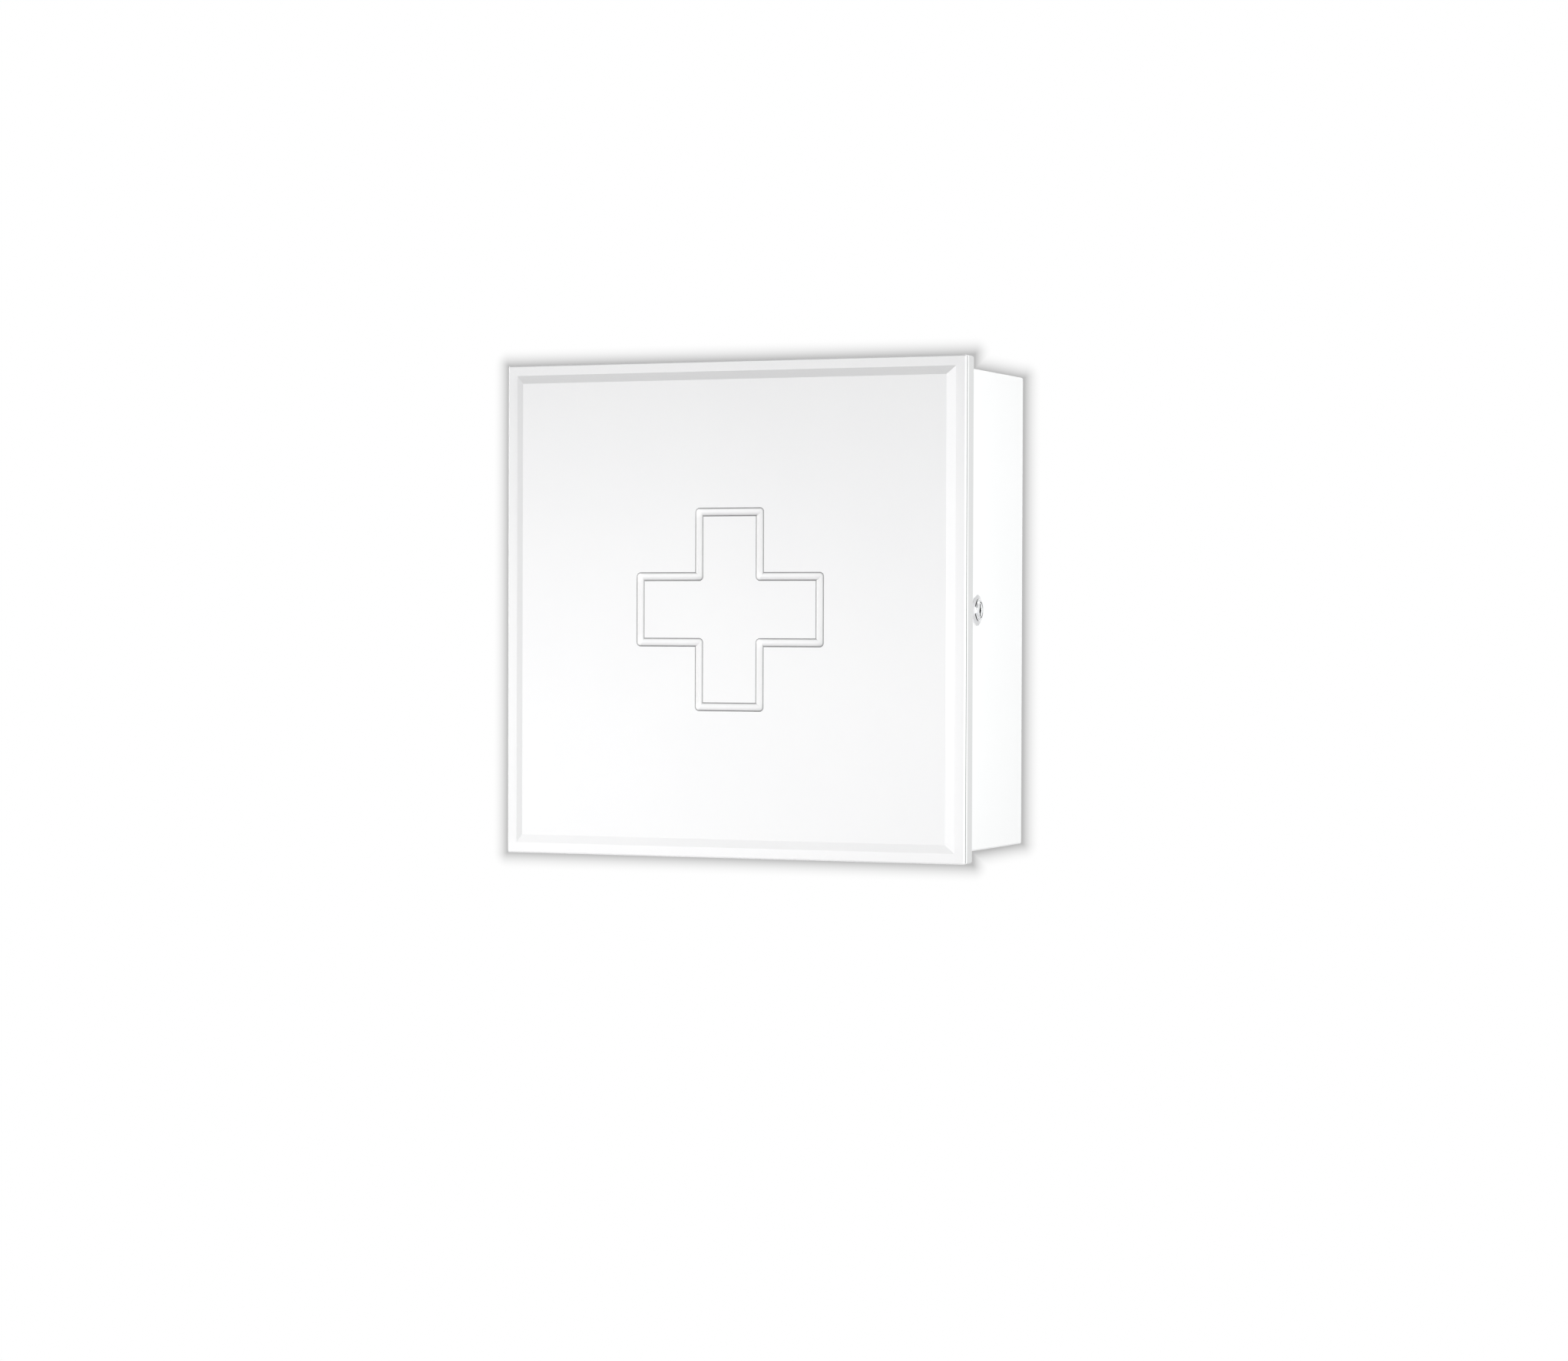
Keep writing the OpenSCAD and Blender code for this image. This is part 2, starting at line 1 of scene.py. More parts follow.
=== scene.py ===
# %% [markdown]
# # A lockable medicine cabinet
# The cabinet is a shallow box of folded, powder-coated sheet steel with one door. The door is a
# steel tray with a thin lacquered board on its front, and a small chrome cam lock sits in the right
# wall. The exact solids are already there as a fixed frame: they say where every part is, how large
# it is and what it turns on. This lesson adds what the eye sees, which is soft edges, real thread,
# keyway, knuckles and finishes. All points are worked out in millimetres in the frame's own axes:
# X to the right, Y into the wall, Z up.

# %% Load the frame
import json

import bmesh
import bpy
import numpy as np
from mathutils import Matrix, Vector


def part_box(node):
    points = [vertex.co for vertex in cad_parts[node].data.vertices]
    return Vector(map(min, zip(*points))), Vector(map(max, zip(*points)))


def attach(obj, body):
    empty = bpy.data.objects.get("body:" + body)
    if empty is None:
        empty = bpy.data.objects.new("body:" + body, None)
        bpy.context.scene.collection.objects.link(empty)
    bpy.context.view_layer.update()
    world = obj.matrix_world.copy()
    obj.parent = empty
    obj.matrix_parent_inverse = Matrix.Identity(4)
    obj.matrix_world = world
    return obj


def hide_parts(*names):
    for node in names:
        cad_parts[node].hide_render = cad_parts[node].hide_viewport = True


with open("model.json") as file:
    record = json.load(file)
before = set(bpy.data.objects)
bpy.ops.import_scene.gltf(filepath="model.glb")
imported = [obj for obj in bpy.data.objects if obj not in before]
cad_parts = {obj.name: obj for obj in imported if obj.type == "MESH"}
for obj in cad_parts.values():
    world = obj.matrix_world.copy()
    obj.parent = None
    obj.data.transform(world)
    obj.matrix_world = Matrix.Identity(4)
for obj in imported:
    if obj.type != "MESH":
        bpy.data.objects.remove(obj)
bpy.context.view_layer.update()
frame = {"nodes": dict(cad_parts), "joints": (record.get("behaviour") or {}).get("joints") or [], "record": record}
nodes = frame["nodes"]


# %% [markdown]
# ## Where things are
# Blender could be told every place again, but numbers that are written twice drift apart. So the
# planes are read from the frame: the box around a solid gives its lowest and highest corner, and
# the lock's joint gives the lock's axis.

# %% Planes and axes, from the frame
MM = 0.001


def box_mm(name):
    """Lowest and highest corner of a solid, in millimetres."""
    return tuple(np.array(corner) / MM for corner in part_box(name))


board_low, board_high = box_mm("door_front_board")
_, pan_high = box_mm("door_pan")
front_low, _ = box_mm("body_front_frame")
_, side_high = box_mm("body_right_side")
joint_at = {joint["name"]: np.array(joint["pos_m"]) / MM for joint in frame["joints"]}
lock_at = joint_at["lock_turn"]
pin_at = joint_at["door_swing"]

door_half = board_high[0]
panel_y = board_low[1]
board_back_y = board_high[1]
door_back_y = pan_high[1]
wall_x = side_high[0]
body_front_y = front_low[1]
print("panel", panel_y, "door back", door_back_y, "wall", wall_x, "lock", lock_at, "pin", pin_at)


# %% [markdown]
# ## The camera
# The camera was found by fitting the door's straight edges in the photo: about 2.4 m away, 22.5
# degrees round to the right and level with the cabinet. The photo's focal length is 5010 pixels on
# a picture 2042 pixels wide, which is an 88 mm lens on a 36 mm sensor. The camera's axes are built
# from yaw, pitch and roll, so that nothing depends on how Blender orders its angles.

# %% Camera
CAMERA_AT = Vector((0.9181, -2.2519, -0.01108))
YAW, PITCH, ROLL = np.radians([22.53, -0.78, 0.19])
PHOTO_W, FOCAL_PX, SENSOR_MM = 2042, 5010.5, 36.0

forward = Vector((-np.sin(YAW) * np.cos(PITCH), np.cos(YAW) * np.cos(PITCH), np.sin(PITCH)))
right = Vector((np.cos(YAW), np.sin(YAW), 0.0))
up = right.cross(forward)
rolled_right = right * np.cos(ROLL) + up * np.sin(ROLL)
rolled_up = up * np.cos(ROLL) - right * np.sin(ROLL)

lens = bpy.data.cameras.new("photo_camera")
lens.sensor_fit = "HORIZONTAL"
lens.sensor_width = SENSOR_MM
lens.lens = SENSOR_MM * FOCAL_PX / PHOTO_W
camera = bpy.data.objects.new("photo_camera", lens)
facing = Matrix((rolled_right, rolled_up, -forward)).transposed().to_4x4()
camera.matrix_world = Matrix.Translation(CAMERA_AT) @ facing
bpy.context.scene.collection.objects.link(camera)
bpy.context.scene.camera = camera
bpy.context.scene.view_settings.view_transform = "Standard"
print("lens", round(lens.lens, 2), "mm")


# %% [markdown]
# ## From a table of points to a mesh
# A surface is a table: each row is one line of the shape, and each column is one place along it.
# Blender's own tools could push and pull the points one by one, but a table that numpy works out at
# once is exact, quick and easy to change. One helper joins neighbouring points with four-sided
# faces. Another collects the tables of a piece, merges the points that coincide (the poles and the
# seams between tables), turns every face outwards and hands the piece to the body it rides on.
# Shading is smooth but for edges sharper than 32 degrees, and a Weighted Normal modifier lets wide
# faces keep their own direction, so that a small rounded edge doesn't blur across them.

# %% Helpers that make meshes
SHARP_OVER = np.radians(32)
WELD = 2e-6


def grid_faces(rows, columns, close_rows=False, close_columns=False):
    """Four corners for each cell of a table. A closed direction joins its last line to its first."""
    row = np.arange(rows if close_rows else rows - 1)
    column = np.arange(columns if close_columns else columns - 1)
    r, c = np.meshgrid(row, column, indexing="ij")
    r_next, c_next = (r + 1) % rows, (c + 1) % columns
    corners = [r * columns + c, r * columns + c_next, r_next * columns + c_next, r_next * columns + c]
    return np.stack(corners, -1).reshape(-1, 4)


def table(points, close_rows=False, close_columns=False, keep=None):
    """One table of points (rows, columns, 3) in mm with its faces. keep marks the cells that stay."""
    faces = grid_faces(*points.shape[:2], close_rows, close_columns)
    if keep is not None:
        faces = faces[keep.ravel()]
    return points.reshape(-1, 3), faces.tolist()


def cap(points):
    """A closed loop of points filled with one face."""
    return points, [list(range(len(points)))]


def make_piece(name, tables, body, material, stands_for=(), sharp_over=SHARP_OVER):
    """Joins tables into one mesh with its faces outwards, and lets it ride on a body of the frame."""
    starts = np.cumsum([0] + [len(points) for points, _ in tables])
    faces = [[int(start) + i for i in face] for start, (_, some) in zip(starts, tables) for face in some]
    mesh = bpy.data.meshes.new(name)
    mesh.from_pydata(np.concatenate([points for points, _ in tables]) * MM, [], faces)
    shape = bmesh.new()
    shape.from_mesh(mesh)
    bmesh.ops.remove_doubles(shape, verts=shape.verts, dist=WELD)
    bmesh.ops.dissolve_degenerate(shape, edges=shape.edges, dist=WELD)
    bmesh.ops.recalc_face_normals(shape, faces=shape.faces)
    loose = [edge for edge in shape.edges if len(edge.link_faces) != 2]
    shape.to_mesh(mesh)
    shape.free()
    mesh.shade_smooth()
    mesh.set_sharp_from_angle(angle=sharp_over)
    mesh.materials.append(material)
    piece = bpy.data.objects.new(name, mesh)
    bpy.context.scene.collection.objects.link(piece)
    even = piece.modifiers.new("wide_faces_stay_flat", "WEIGHTED_NORMAL")
    even.keep_sharp = True
    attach(piece, body)
    if stands_for:
        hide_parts(*stands_for)
    print(f"{name}: {len(mesh.polygons)} faces, {len(loose)} open edges")
    return piece


def mark(piece, name, rule):
    """Puts a number on each point of a piece, for its material to read. rule gets x, y, z in mm."""
    places = np.empty(3 * len(piece.data.vertices))
    piece.data.vertices.foreach_get("co", places)
    values = np.asarray(rule(*places.reshape(-1, 3).T / MM), float)
    piece.data.attributes.new(name, "FLOAT", "POINT").data.foreach_set("value", values)
    print(f"{piece.name}: {name} on {int((values > 0).sum())} points")


# %% [markdown]
# ## Soft corners
# No painted edge is sharp: the coat draws back to a small radius, and that radius is what catches
# the light. A Bevel modifier would do it on a simple box. Here each outline is drawn once with
# sharp corners, and a function swaps every corner for an arc of a given radius, which keeps the
# number of points small and the radius exact.

# %% Rounded outlines


def soften(points, radii, steps=5, closed=False):
    """Swaps corners for arcs that touch both their sides.

    With the half angle h between the two sides, the arc of radius r starts r / tan(h) from the
    corner, and its centre lies r / sin(h) from the corner on the line that halves the angle.
    """
    points = np.asarray(points, float)
    before, corner, after = np.roll(points, 1, 0), points, np.roll(points, -1, 0)
    if not closed:
        before, corner, after = before[1:-1], corner[1:-1], after[1:-1]
    radii = np.broadcast_to(radii, len(corner))[:, None]
    back = (before - corner) / np.linalg.norm(before - corner, axis=1, keepdims=True)
    ahead = (after - corner) / np.linalg.norm(after - corner, axis=1, keepdims=True)
    half = np.arccos(np.clip((back * ahead).sum(1, keepdims=True), -1, 1)) / 2
    middle = (back + ahead) / np.linalg.norm(back + ahead, axis=1, keepdims=True)
    centre = corner + middle * radii / np.sin(half)
    start = corner + back * radii / np.tan(half) - centre
    end = corner + ahead * radii / np.tan(half) - centre
    swing = (np.pi - 2 * half)[:, None]
    part = np.linspace(0, 1, steps + 1)[None, :, None]
    arc = np.sin((1 - part) * swing) * start[:, None] + np.sin(part * swing) * end[:, None]
    rounded = (centre[:, None] + arc / np.sin(swing)).reshape(-1, 2)
    return rounded if closed else np.concatenate([points[:1], rounded, points[-1:]])


def round_square(profile, half, corner_r, lines=(), steps=6):
    """Carries a profile of (inset, y) points round a square in X and Z.

    At inset d the square is smaller by d on every side, and its corners have what is left of the
    corner radius, max(corner_r - d, 0). lines are extra columns along each side, from high to low.
    """
    inset, y = np.asarray(profile, float).T[:, :, None]
    turn = np.linspace(0, np.pi / 2, steps + 1)
    hold = half - np.maximum(corner_r, inset)
    radius = np.maximum(corner_r - inset, 0)
    side = np.broadcast_to(np.asarray(lines, float), (len(inset), len(lines)))
    x = np.concatenate([hold + radius * np.cos(turn), side], 1)
    z = np.concatenate([hold + radius * np.sin(turn), np.broadcast_to(half - inset, side.shape)], 1)
    quarters = [(x, z), (-z, x), (-x, -z), (z, -x)]
    x = np.concatenate([q[0] for q in quarters], 1)
    z = np.concatenate([q[1] for q in quarters], 1)
    return np.stack([x, np.broadcast_to(y, x.shape), z], -1)


corner = soften([[0, 4], [0, 0], [4, 0]], 1.0)
gap = float(np.linalg.norm(corner, axis=1).min())
print("an arc of 1 mm radius stays", round(gap, 3), "mm away from its corner")


# %% [markdown]
# ## Finishes
# A finish is a small chain of nodes. Every chain reads Object coordinates, which are metres in the
# frame, so a pattern's scale is one over its real size in metres and it stays on the piece when the
# door swings. Colours are picked as they look on a screen, and one function turns them to the
# linear values that light is worked out with.

# %% Helpers for materials


def linear(colour):
    """A hex colour as seen on screen, to linear light: c / 12.92 up to 0.04045, and above that
    ((c + 0.055) / 1.055) to the power 2.4."""
    c = np.array([int(colour[i:i + 2], 16) for i in (1, 3, 5)]) / 255
    return (*np.where(c <= 0.04045, c / 12.92, ((c + 0.055) / 1.055) ** 2.4).tolist(), 1.0)


def add(tree, kind, inputs=None, **settings):
    """Adds one node. An input is given a plain value, or the output of another node to link to."""
    new = tree.nodes.new(kind)
    for name, value in settings.items():
        setattr(new, name, value)
    for name, value in (inputs or {}).items():
        if isinstance(value, bpy.types.NodeSocket):
            tree.links.new(value, new.inputs[name])
        else:
            new.inputs[name].default_value = value
    return new


def finish(name):
    """An empty material, its node tree and its object coordinates."""
    material = bpy.data.materials.new(name)
    material.use_nodes = True
    tree = material.node_tree
    tree.nodes.clear()
    return material, tree, add(tree, "ShaderNodeTexCoord").outputs["Object"]


def per_mm(size):
    """The scale of a pattern whose features are size mm wide."""
    return 1 / (size * MM)


print("a 2 mm pattern has scale", per_mm(2))


# %% [markdown]
# ### Powder coat
# The steel is sprayed with white polyester powder and baked. The melt levels out but never quite
# flattens: it keeps an orange-peel skin, dimples about 2 mm wide and a few hundredths of a
# millimetre deep, which break up reflections. One noise gives the dimples and a finer one gives
# the grain. The real grain is about 0.2 mm, which is finer than the picture can show, so it is
# drawn 0.7 mm wide. Light and shade are painted into the tray's side in bands behind its joint with
# the board: a dark line of painted shade in the joint, a white band of painted highlight on the
# bend, and behind that a grey of painted shade that makes the side darker than the body's wall. A
# colour ramp holds these bands as parts of a set width behind the joint, in millimetres.

# %% Powder coat
PAINTED_BANDS_W = 6.0
# Painted shade in the joint, painted highlight on the bend and painted shade on the tray's side.
JOINT_PAINTED_SHADE, PAINTED_HIGHLIGHT_WHITE, TRAY_SIDE_PAINTED_SHADE = "#6E6E6E", "#FFFFFF", "#DBDBDB"
PAINTED_BANDS = [(0.0, JOINT_PAINTED_SHADE), (0.28, JOINT_PAINTED_SHADE), (0.33, PAINTED_HIGHLIGHT_WHITE), (0.48, PAINTED_HIGHLIGHT_WHITE),
             (0.56, TRAY_SIDE_PAINTED_SHADE), (1.0, TRAY_SIDE_PAINTED_SHADE)]


def powder_coat(name, colour, shade, with_painted_bands=False):
    """Satin polyester: IOR 1.5, roughness about 0.4, colour a little uneven, orange-peel bump.

    With painted bands, the number behind_joint on the points, from 0 to 1 over the band width behind
    a joint, picks its place on a ramp of painted shade and painted highlight.
    """
    material, tree, at = finish(name)
    cloud = add(tree, "ShaderNodeTexNoise", {"Vector": at, "Scale": per_mm(120), "Detail": 2.0})
    peel = add(tree, "ShaderNodeTexNoise", {"Vector": at, "Scale": per_mm(2.2), "Detail": 1.0})
    grain = add(tree, "ShaderNodeTexNoise", {"Vector": at, "Scale": per_mm(0.7), "Detail": 0.0})
    tint = add(tree, "ShaderNodeMix", {"Factor": cloud.outputs["Fac"], "A": linear(colour),
                                       "B": linear(shade)}, data_type="RGBA")
    if with_painted_bands:
        # Painted light and shade: the ramp darkens the joint and the tray's side and whitens the bend.
        behind = add(tree, "ShaderNodeAttribute", attribute_name="behind_joint")
        bands = add(tree, "ShaderNodeValToRGB", {"Fac": behind.outputs["Fac"]})
        for place_at, _ in PAINTED_BANDS[1:-1]:
            bands.color_ramp.elements.new(place_at)
        for stop, (_, hex_colour) in zip(bands.color_ramp.elements, PAINTED_BANDS):
            stop.color = linear(hex_colour)
        tint = add(tree, "ShaderNodeMix", {"Factor": 1.0, "A": tint.outputs["Result"],
                                           "B": bands.outputs["Color"]},
                   data_type="RGBA", blend_type="MULTIPLY")
    gloss = add(tree, "ShaderNodeMapRange", {"Value": cloud.outputs["Fac"], "To Min": 0.36,
                                             "To Max": 0.44})
    dimples = add(tree, "ShaderNodeBump", {"Height": peel.outputs["Fac"], "Distance": 3e-5})
    skin = add(tree, "ShaderNodeBump", {"Height": grain.outputs["Fac"], "Distance": 6e-6,
                                        "Normal": dimples.outputs["Normal"]})
    coat = add(tree, "ShaderNodeBsdfPrincipled", {
        "Base Color": tint.outputs["Result"], "Roughness": gloss.outputs["Result"],
        "IOR": 1.5, "Normal": skin.outputs["Normal"]})
    add(tree, "ShaderNodeOutputMaterial", {"Surface": coat.outputs["BSDF"]})
    return material


body_coat = powder_coat("white_powder_coat", "#F4F5F5", "#F0F1F1")
pan_coat = powder_coat("door_tray_coat_painted_light_and_shade", "#F4F5F5", "#F0F1F1", with_painted_bands=True)
print("made", body_coat.name, "and", pan_coat.name)


# %% [markdown]
# ### Sprayed lacquer
# The door's front is a routed board with several coats of sprayed white lacquer. It is satin and
# smoother than powder, but each coat dries with a faint speckle about 1.5 mm wide. That speckle is
# what shows the panel's face as a surface at all. Light and shade in the groove are painted into the
# lacquer's colour: a dark grey of painted shade along the groove's steep edges, and painted light,
# plain white, on walls that face right. The board's points carry both as numbers, one for the
# painted shade and one for the painted light.

# %% Sprayed lacquer
# The grey of the painted shade along the groove's edges.
GROOVE_SHADE_GREY = "#6C6C6D"


def sprayed_lacquer():
    """Satin lacquer on board: IOR 1.5, roughness about 0.45, a fine speckle in height and gloss."""
    material, tree, at = finish("sprayed_white_lacquer")
    cloud = add(tree, "ShaderNodeTexNoise", {"Vector": at, "Scale": per_mm(90), "Detail": 3.0})
    speckle = add(tree, "ShaderNodeTexNoise", {"Vector": at, "Scale": per_mm(1.5), "Detail": 2.0})
    tint = add(tree, "ShaderNodeMix", {"Factor": cloud.outputs["Fac"], "A": linear("#F6F6F6"),
                                       "B": linear("#F2F2F3")}, data_type="RGBA")
    # Painted shade: grey along the groove's steep edges.
    groove_shade = add(tree, "ShaderNodeAttribute", attribute_name="painted_groove_shade")
    tint = add(tree, "ShaderNodeMix", {"Factor": groove_shade.outputs["Fac"], "A": tint.outputs["Result"],
                                       "B": linear(GROOVE_SHADE_GREY)}, data_type="RGBA")
    # Painted light: white on the groove's walls that face right.
    right_wall_light = add(tree, "ShaderNodeAttribute", attribute_name="painted_right_wall_light")
    tint = add(tree, "ShaderNodeMix", {"Factor": right_wall_light.outputs["Fac"], "A": tint.outputs["Result"],
                                       "B": linear(PAINTED_HIGHLIGHT_WHITE)}, data_type="RGBA")
    gloss = add(tree, "ShaderNodeMapRange", {"Value": speckle.outputs["Fac"], "To Min": 0.40,
                                             "To Max": 0.52})
    skin = add(tree, "ShaderNodeBump", {"Height": speckle.outputs["Fac"], "Distance": 2.5e-5})
    coat = add(tree, "ShaderNodeBsdfPrincipled", {
        "Base Color": tint.outputs["Result"], "Roughness": gloss.outputs["Result"],
        "IOR": 1.5, "Normal": skin.outputs["Normal"]})
    add(tree, "ShaderNodeOutputMaterial", {"Surface": coat.outputs["BSDF"]})
    return material


lacquer = sprayed_lacquer()
print("made", lacquer.name)


# %% [markdown]
# ### Metals
# Three metals are left. The lock's face is chrome plate over die-cast zinc: almost a mirror, with
# the fine haze of handling. Hinges, rivets, nut and cam are bright zinc plate: a cooler, cloudy
# grey, half matt. The wafers inside the lock are plain stamped brass. All three share one chain
# with other numbers: a noise stretched along one axis gives the rub marks of plating and handling.
# Painted shade darkens the chrome in turned steps and grooves and in the keyway, where shade falls.
# A number on the points says where, and the metal is nearly black there.

# %% Metals
# The near-black of painted shade.
PAINTED_SHADE_DARK = "#242322"


def plated_metal(name, colour, worn, low, high, mark_mm, relief):
    """A bare or plated metal: roughness from low to high in clouds, and fine rub marks."""
    material, tree, at = finish(name)
    long_marks = add(tree, "ShaderNodeMapping", {"Vector": at, "Scale": (1.0, 1.0, 0.2)})
    marks = add(tree, "ShaderNodeTexNoise", {"Vector": long_marks.outputs["Vector"],
                                             "Scale": per_mm(mark_mm), "Detail": 3.0})
    cloud = add(tree, "ShaderNodeTexNoise", {"Vector": at, "Scale": per_mm(6), "Detail": 2.0})
    tint = add(tree, "ShaderNodeMix", {"Factor": cloud.outputs["Fac"], "A": linear(colour),
                                       "B": linear(worn)}, data_type="RGBA")
    gloss = add(tree, "ShaderNodeMapRange", {"Value": marks.outputs["Fac"], "From Min": 0.3,
                                             "From Max": 0.7, "To Min": low, "To Max": high})
    # Painted shade: nearly black where the points' number says so.
    painted_shade = add(tree, "ShaderNodeAttribute", attribute_name="painted_shade")
    tint = add(tree, "ShaderNodeMix", {"Factor": painted_shade.outputs["Fac"], "A": tint.outputs["Result"],
                                       "B": linear(PAINTED_SHADE_DARK)}, data_type="RGBA")
    skin = add(tree, "ShaderNodeBump", {"Height": marks.outputs["Fac"], "Distance": relief})
    metal = add(tree, "ShaderNodeBsdfPrincipled", {
        "Base Color": tint.outputs["Result"], "Metallic": 1.0,
        "Roughness": gloss.outputs["Result"], "Normal": skin.outputs["Normal"]})
    add(tree, "ShaderNodeOutputMaterial", {"Surface": metal.outputs["BSDF"]})
    return material


chrome = plated_metal("chrome_plate", "#F3F4F5", "#ECEDEF", 0.08, 0.18, 0.8, 1e-6)
zinc = plated_metal("bright_zinc_plate", "#C9CCCE", "#B9BCBF", 0.26, 0.42, 0.6, 4e-6)
brass = plated_metal("stamped_brass", "#C9A64A", "#B8943C", 0.25, 0.4, 0.5, 3e-6)
print("made", chrome.name, zinc.name, brass.name)


# %% [markdown]
# ### Rubber
# Four soft dots keep the door from rattling. Moulded grey rubber is matt, with a fine bloom on it.

# %% Rubber


def moulded_rubber():
    """Grey rubber: rough, with a low sheen of bloom that noise makes patchy."""
    material, tree, at = finish("grey_moulded_rubber")
    bloom = add(tree, "ShaderNodeTexNoise", {"Vector": at, "Scale": per_mm(1.2), "Detail": 3.0})
    tint = add(tree, "ShaderNodeMix", {"Factor": bloom.outputs["Fac"], "A": linear("#85888B"),
                                       "B": linear("#95989A")}, data_type="RGBA")
    skin = add(tree, "ShaderNodeBump", {"Height": bloom.outputs["Fac"], "Distance": 1.5e-5})
    rubber = add(tree, "ShaderNodeBsdfPrincipled", {
        "Base Color": tint.outputs["Result"], "Roughness": 0.75, "Normal": skin.outputs["Normal"]})
    add(tree, "ShaderNodeOutputMaterial", {"Surface": rubber.outputs["BSDF"]})
    return material


rubber = moulded_rubber()
by_slot = {"powder_coat": body_coat, "board_lacquer": lacquer, "zinc": zinc, "chrome": chrome,
           "brass": brass, "rubber": rubber}
for part in frame["record"]["subparts"]:
    nodes[part["node"]].data.materials.clear()
    nodes[part["node"]].data.materials.append(by_slot[part["material_slot"]])


# %% [markdown]
# ## The door's front board
# A board about 4 mm thick is routed in one pass: a flat rim, a bevel and a raised panel, and then a
# round-nosed cutter follows the outline of a cross. A boolean could cut the groove, but it leaves
# ragged triangles along the round corners. The face is a height over a plane, so it is made as one:
# a table whose lines crowd together where the groove's walls are steep. The depth at a point
# depends only on its distance from the cross's outline.

# %% The cross as a height
RIM_W, BEVEL_W, PANEL_RISE = 6.3, 5.1, 2.5
CHAMFER, DOOR_CORNER_R = 0.8, 1.2
CROSS_SIZE, CROSS_ARM = 117.4, 39.7
GROOVE_W, GROOVE_DEPTH, GROOVE_LIP = 5.2, 1.7, 0.08
CUTTER_R = ((GROOVE_W / 2) ** 2 + GROOVE_DEPTH**2) / (2 * GROOVE_DEPTH)
rim_y = panel_y + PANEL_RISE


def distance_to_cross(x, z):
    """Distance to the outline of a cross with equal arms.

    The cross looks the same in all four arms and their mirror images, so the larger of |x| and |z|
    counts as the distance a along an arm and the smaller as b across it. What is left are two
    straight lines: the arm's end, at a = far, and the arm's side, at b = near.
    """
    near, far = CROSS_ARM / 2, CROSS_SIZE / 2
    a, b = np.maximum(abs(x), abs(z)), np.minimum(abs(x), abs(z))
    to_end = np.hypot(a - far, np.maximum(b - near, 0))
    to_side = np.hypot(b - near, np.maximum(near - a, 0) + np.maximum(a - far, 0))
    return np.minimum(to_end, to_side)


def groove_depth(distance):
    """Depth of the cutter's path: a circle of radius CUTTER_R sunk into the face. The lip where it
    leaves the face is rounded by a smooth maximum: k h^2 / 4 more, where h = 1 - |depth| / k > 0."""
    sunk = np.sqrt(np.maximum(CUTTER_R**2 - distance**2, 0)) - (CUTTER_R - GROOVE_DEPTH)
    near_lip = np.maximum(1 - abs(sunk) / GROOVE_LIP, 0)
    return np.maximum(sunk, 0) + GROOVE_LIP * near_lip**2 / 4


print("depth on the cutter's path and 4 mm beside it:", [float(groove_depth(d)) for d in (0.0, 4.0)])


# %% [markdown]
# ### The board as one mesh
# Around the panel, the rim's profile is carried round the square, and its inner line has the same
# points as the panel's edge. Each cell of the panel is cut in two along the diagonal that comes
# nearer to the true depth in its middle, so that the mitres where two strokes meet are clean lines.
# The bevel's own edges are crisp, so this piece counts an edge as sharp from 20 degrees. Two
# numbers on each point say where the lacquer gets painted shade and where it gets painted light.
# They follow from how steep the groove's wall is there and from which way it faces.

# %% The board
PANEL_EDGE = RIM_W + BEVEL_W + 1
# Where along the groove's walls the painted shade starts, and how fast it darkens.
GROOVE_SHADE_FROM, GROOVE_SHADE_UNTIL, NUDGE = (0.3, 0.5, 0.68), 0.8, 0.01
panel_half = door_half - PANEL_EDGE
edge_angle = np.arcsin(GROOVE_W / 2 / CUTTER_R)
groove_lines = CUTTER_R * np.sin(np.linspace(0, edge_angle, 15))
reach = np.concatenate([groove_lines, GROOVE_W / 2 + np.array([0.04, 0.3])])
across_stroke = np.concatenate([-reach[:0:-1], reach])
strokes = [c + across_stroke for c in (CROSS_ARM / 2, CROSS_SIZE / 2)]
open_field = [np.linspace(0, 12, 3), np.linspace(27, 52, 5), np.linspace(68, panel_half, 10)]
lines = np.unique(np.round(np.concatenate(strokes + open_field), 4))
lines = np.concatenate([-lines[::-1], lines[lines > 0]])
x, z = np.meshgrid(lines, lines, indexing="ij")
depth = groove_depth(distance_to_cross(x, z))
panel, cells = table(np.stack([x, panel_y + depth, z], -1))

middle = (lines[1:] + lines[:-1]) / 2
wanted = 2 * groove_depth(distance_to_cross(*np.meshgrid(middle, middle, indexing="ij")))
one_way = abs(depth[:-1, :-1] + depth[1:, 1:] - wanted)
other_way = abs(depth[:-1, 1:] + depth[1:, :-1] - wanted)
a, b, c, d = np.array(cells).T
along_ac = np.stack([a, b, c, a, c, d], -1).reshape(-1, 2, 3)
along_bd = np.stack([b, c, d, b, d, a], -1).reshape(-1, 2, 3)
halves = np.where((one_way <= other_way).reshape(-1, 1, 1), along_ac, along_bd).reshape(-1, 3).tolist()

edge = soften([[20, board_back_y], [0, board_back_y], [0, rim_y + CHAMFER], [CHAMFER, rim_y],
               [RIM_W, rim_y]], [0.15, 0.2, 0.2], steps=4)
bevel = [[RIM_W + BEVEL_W, panel_y], [PANEL_EDGE, panel_y]]
rim = round_square(np.concatenate([edge, bevel]), door_half, DOOR_CORNER_R, lines=lines[-2:0:-1])
board = make_piece(
    "door_front_board_routed", [(panel, halves), table(rim, close_columns=True), cap(rim[0])],
    "door", lacquer, ["door_front_board"], sharp_over=np.radians(20))


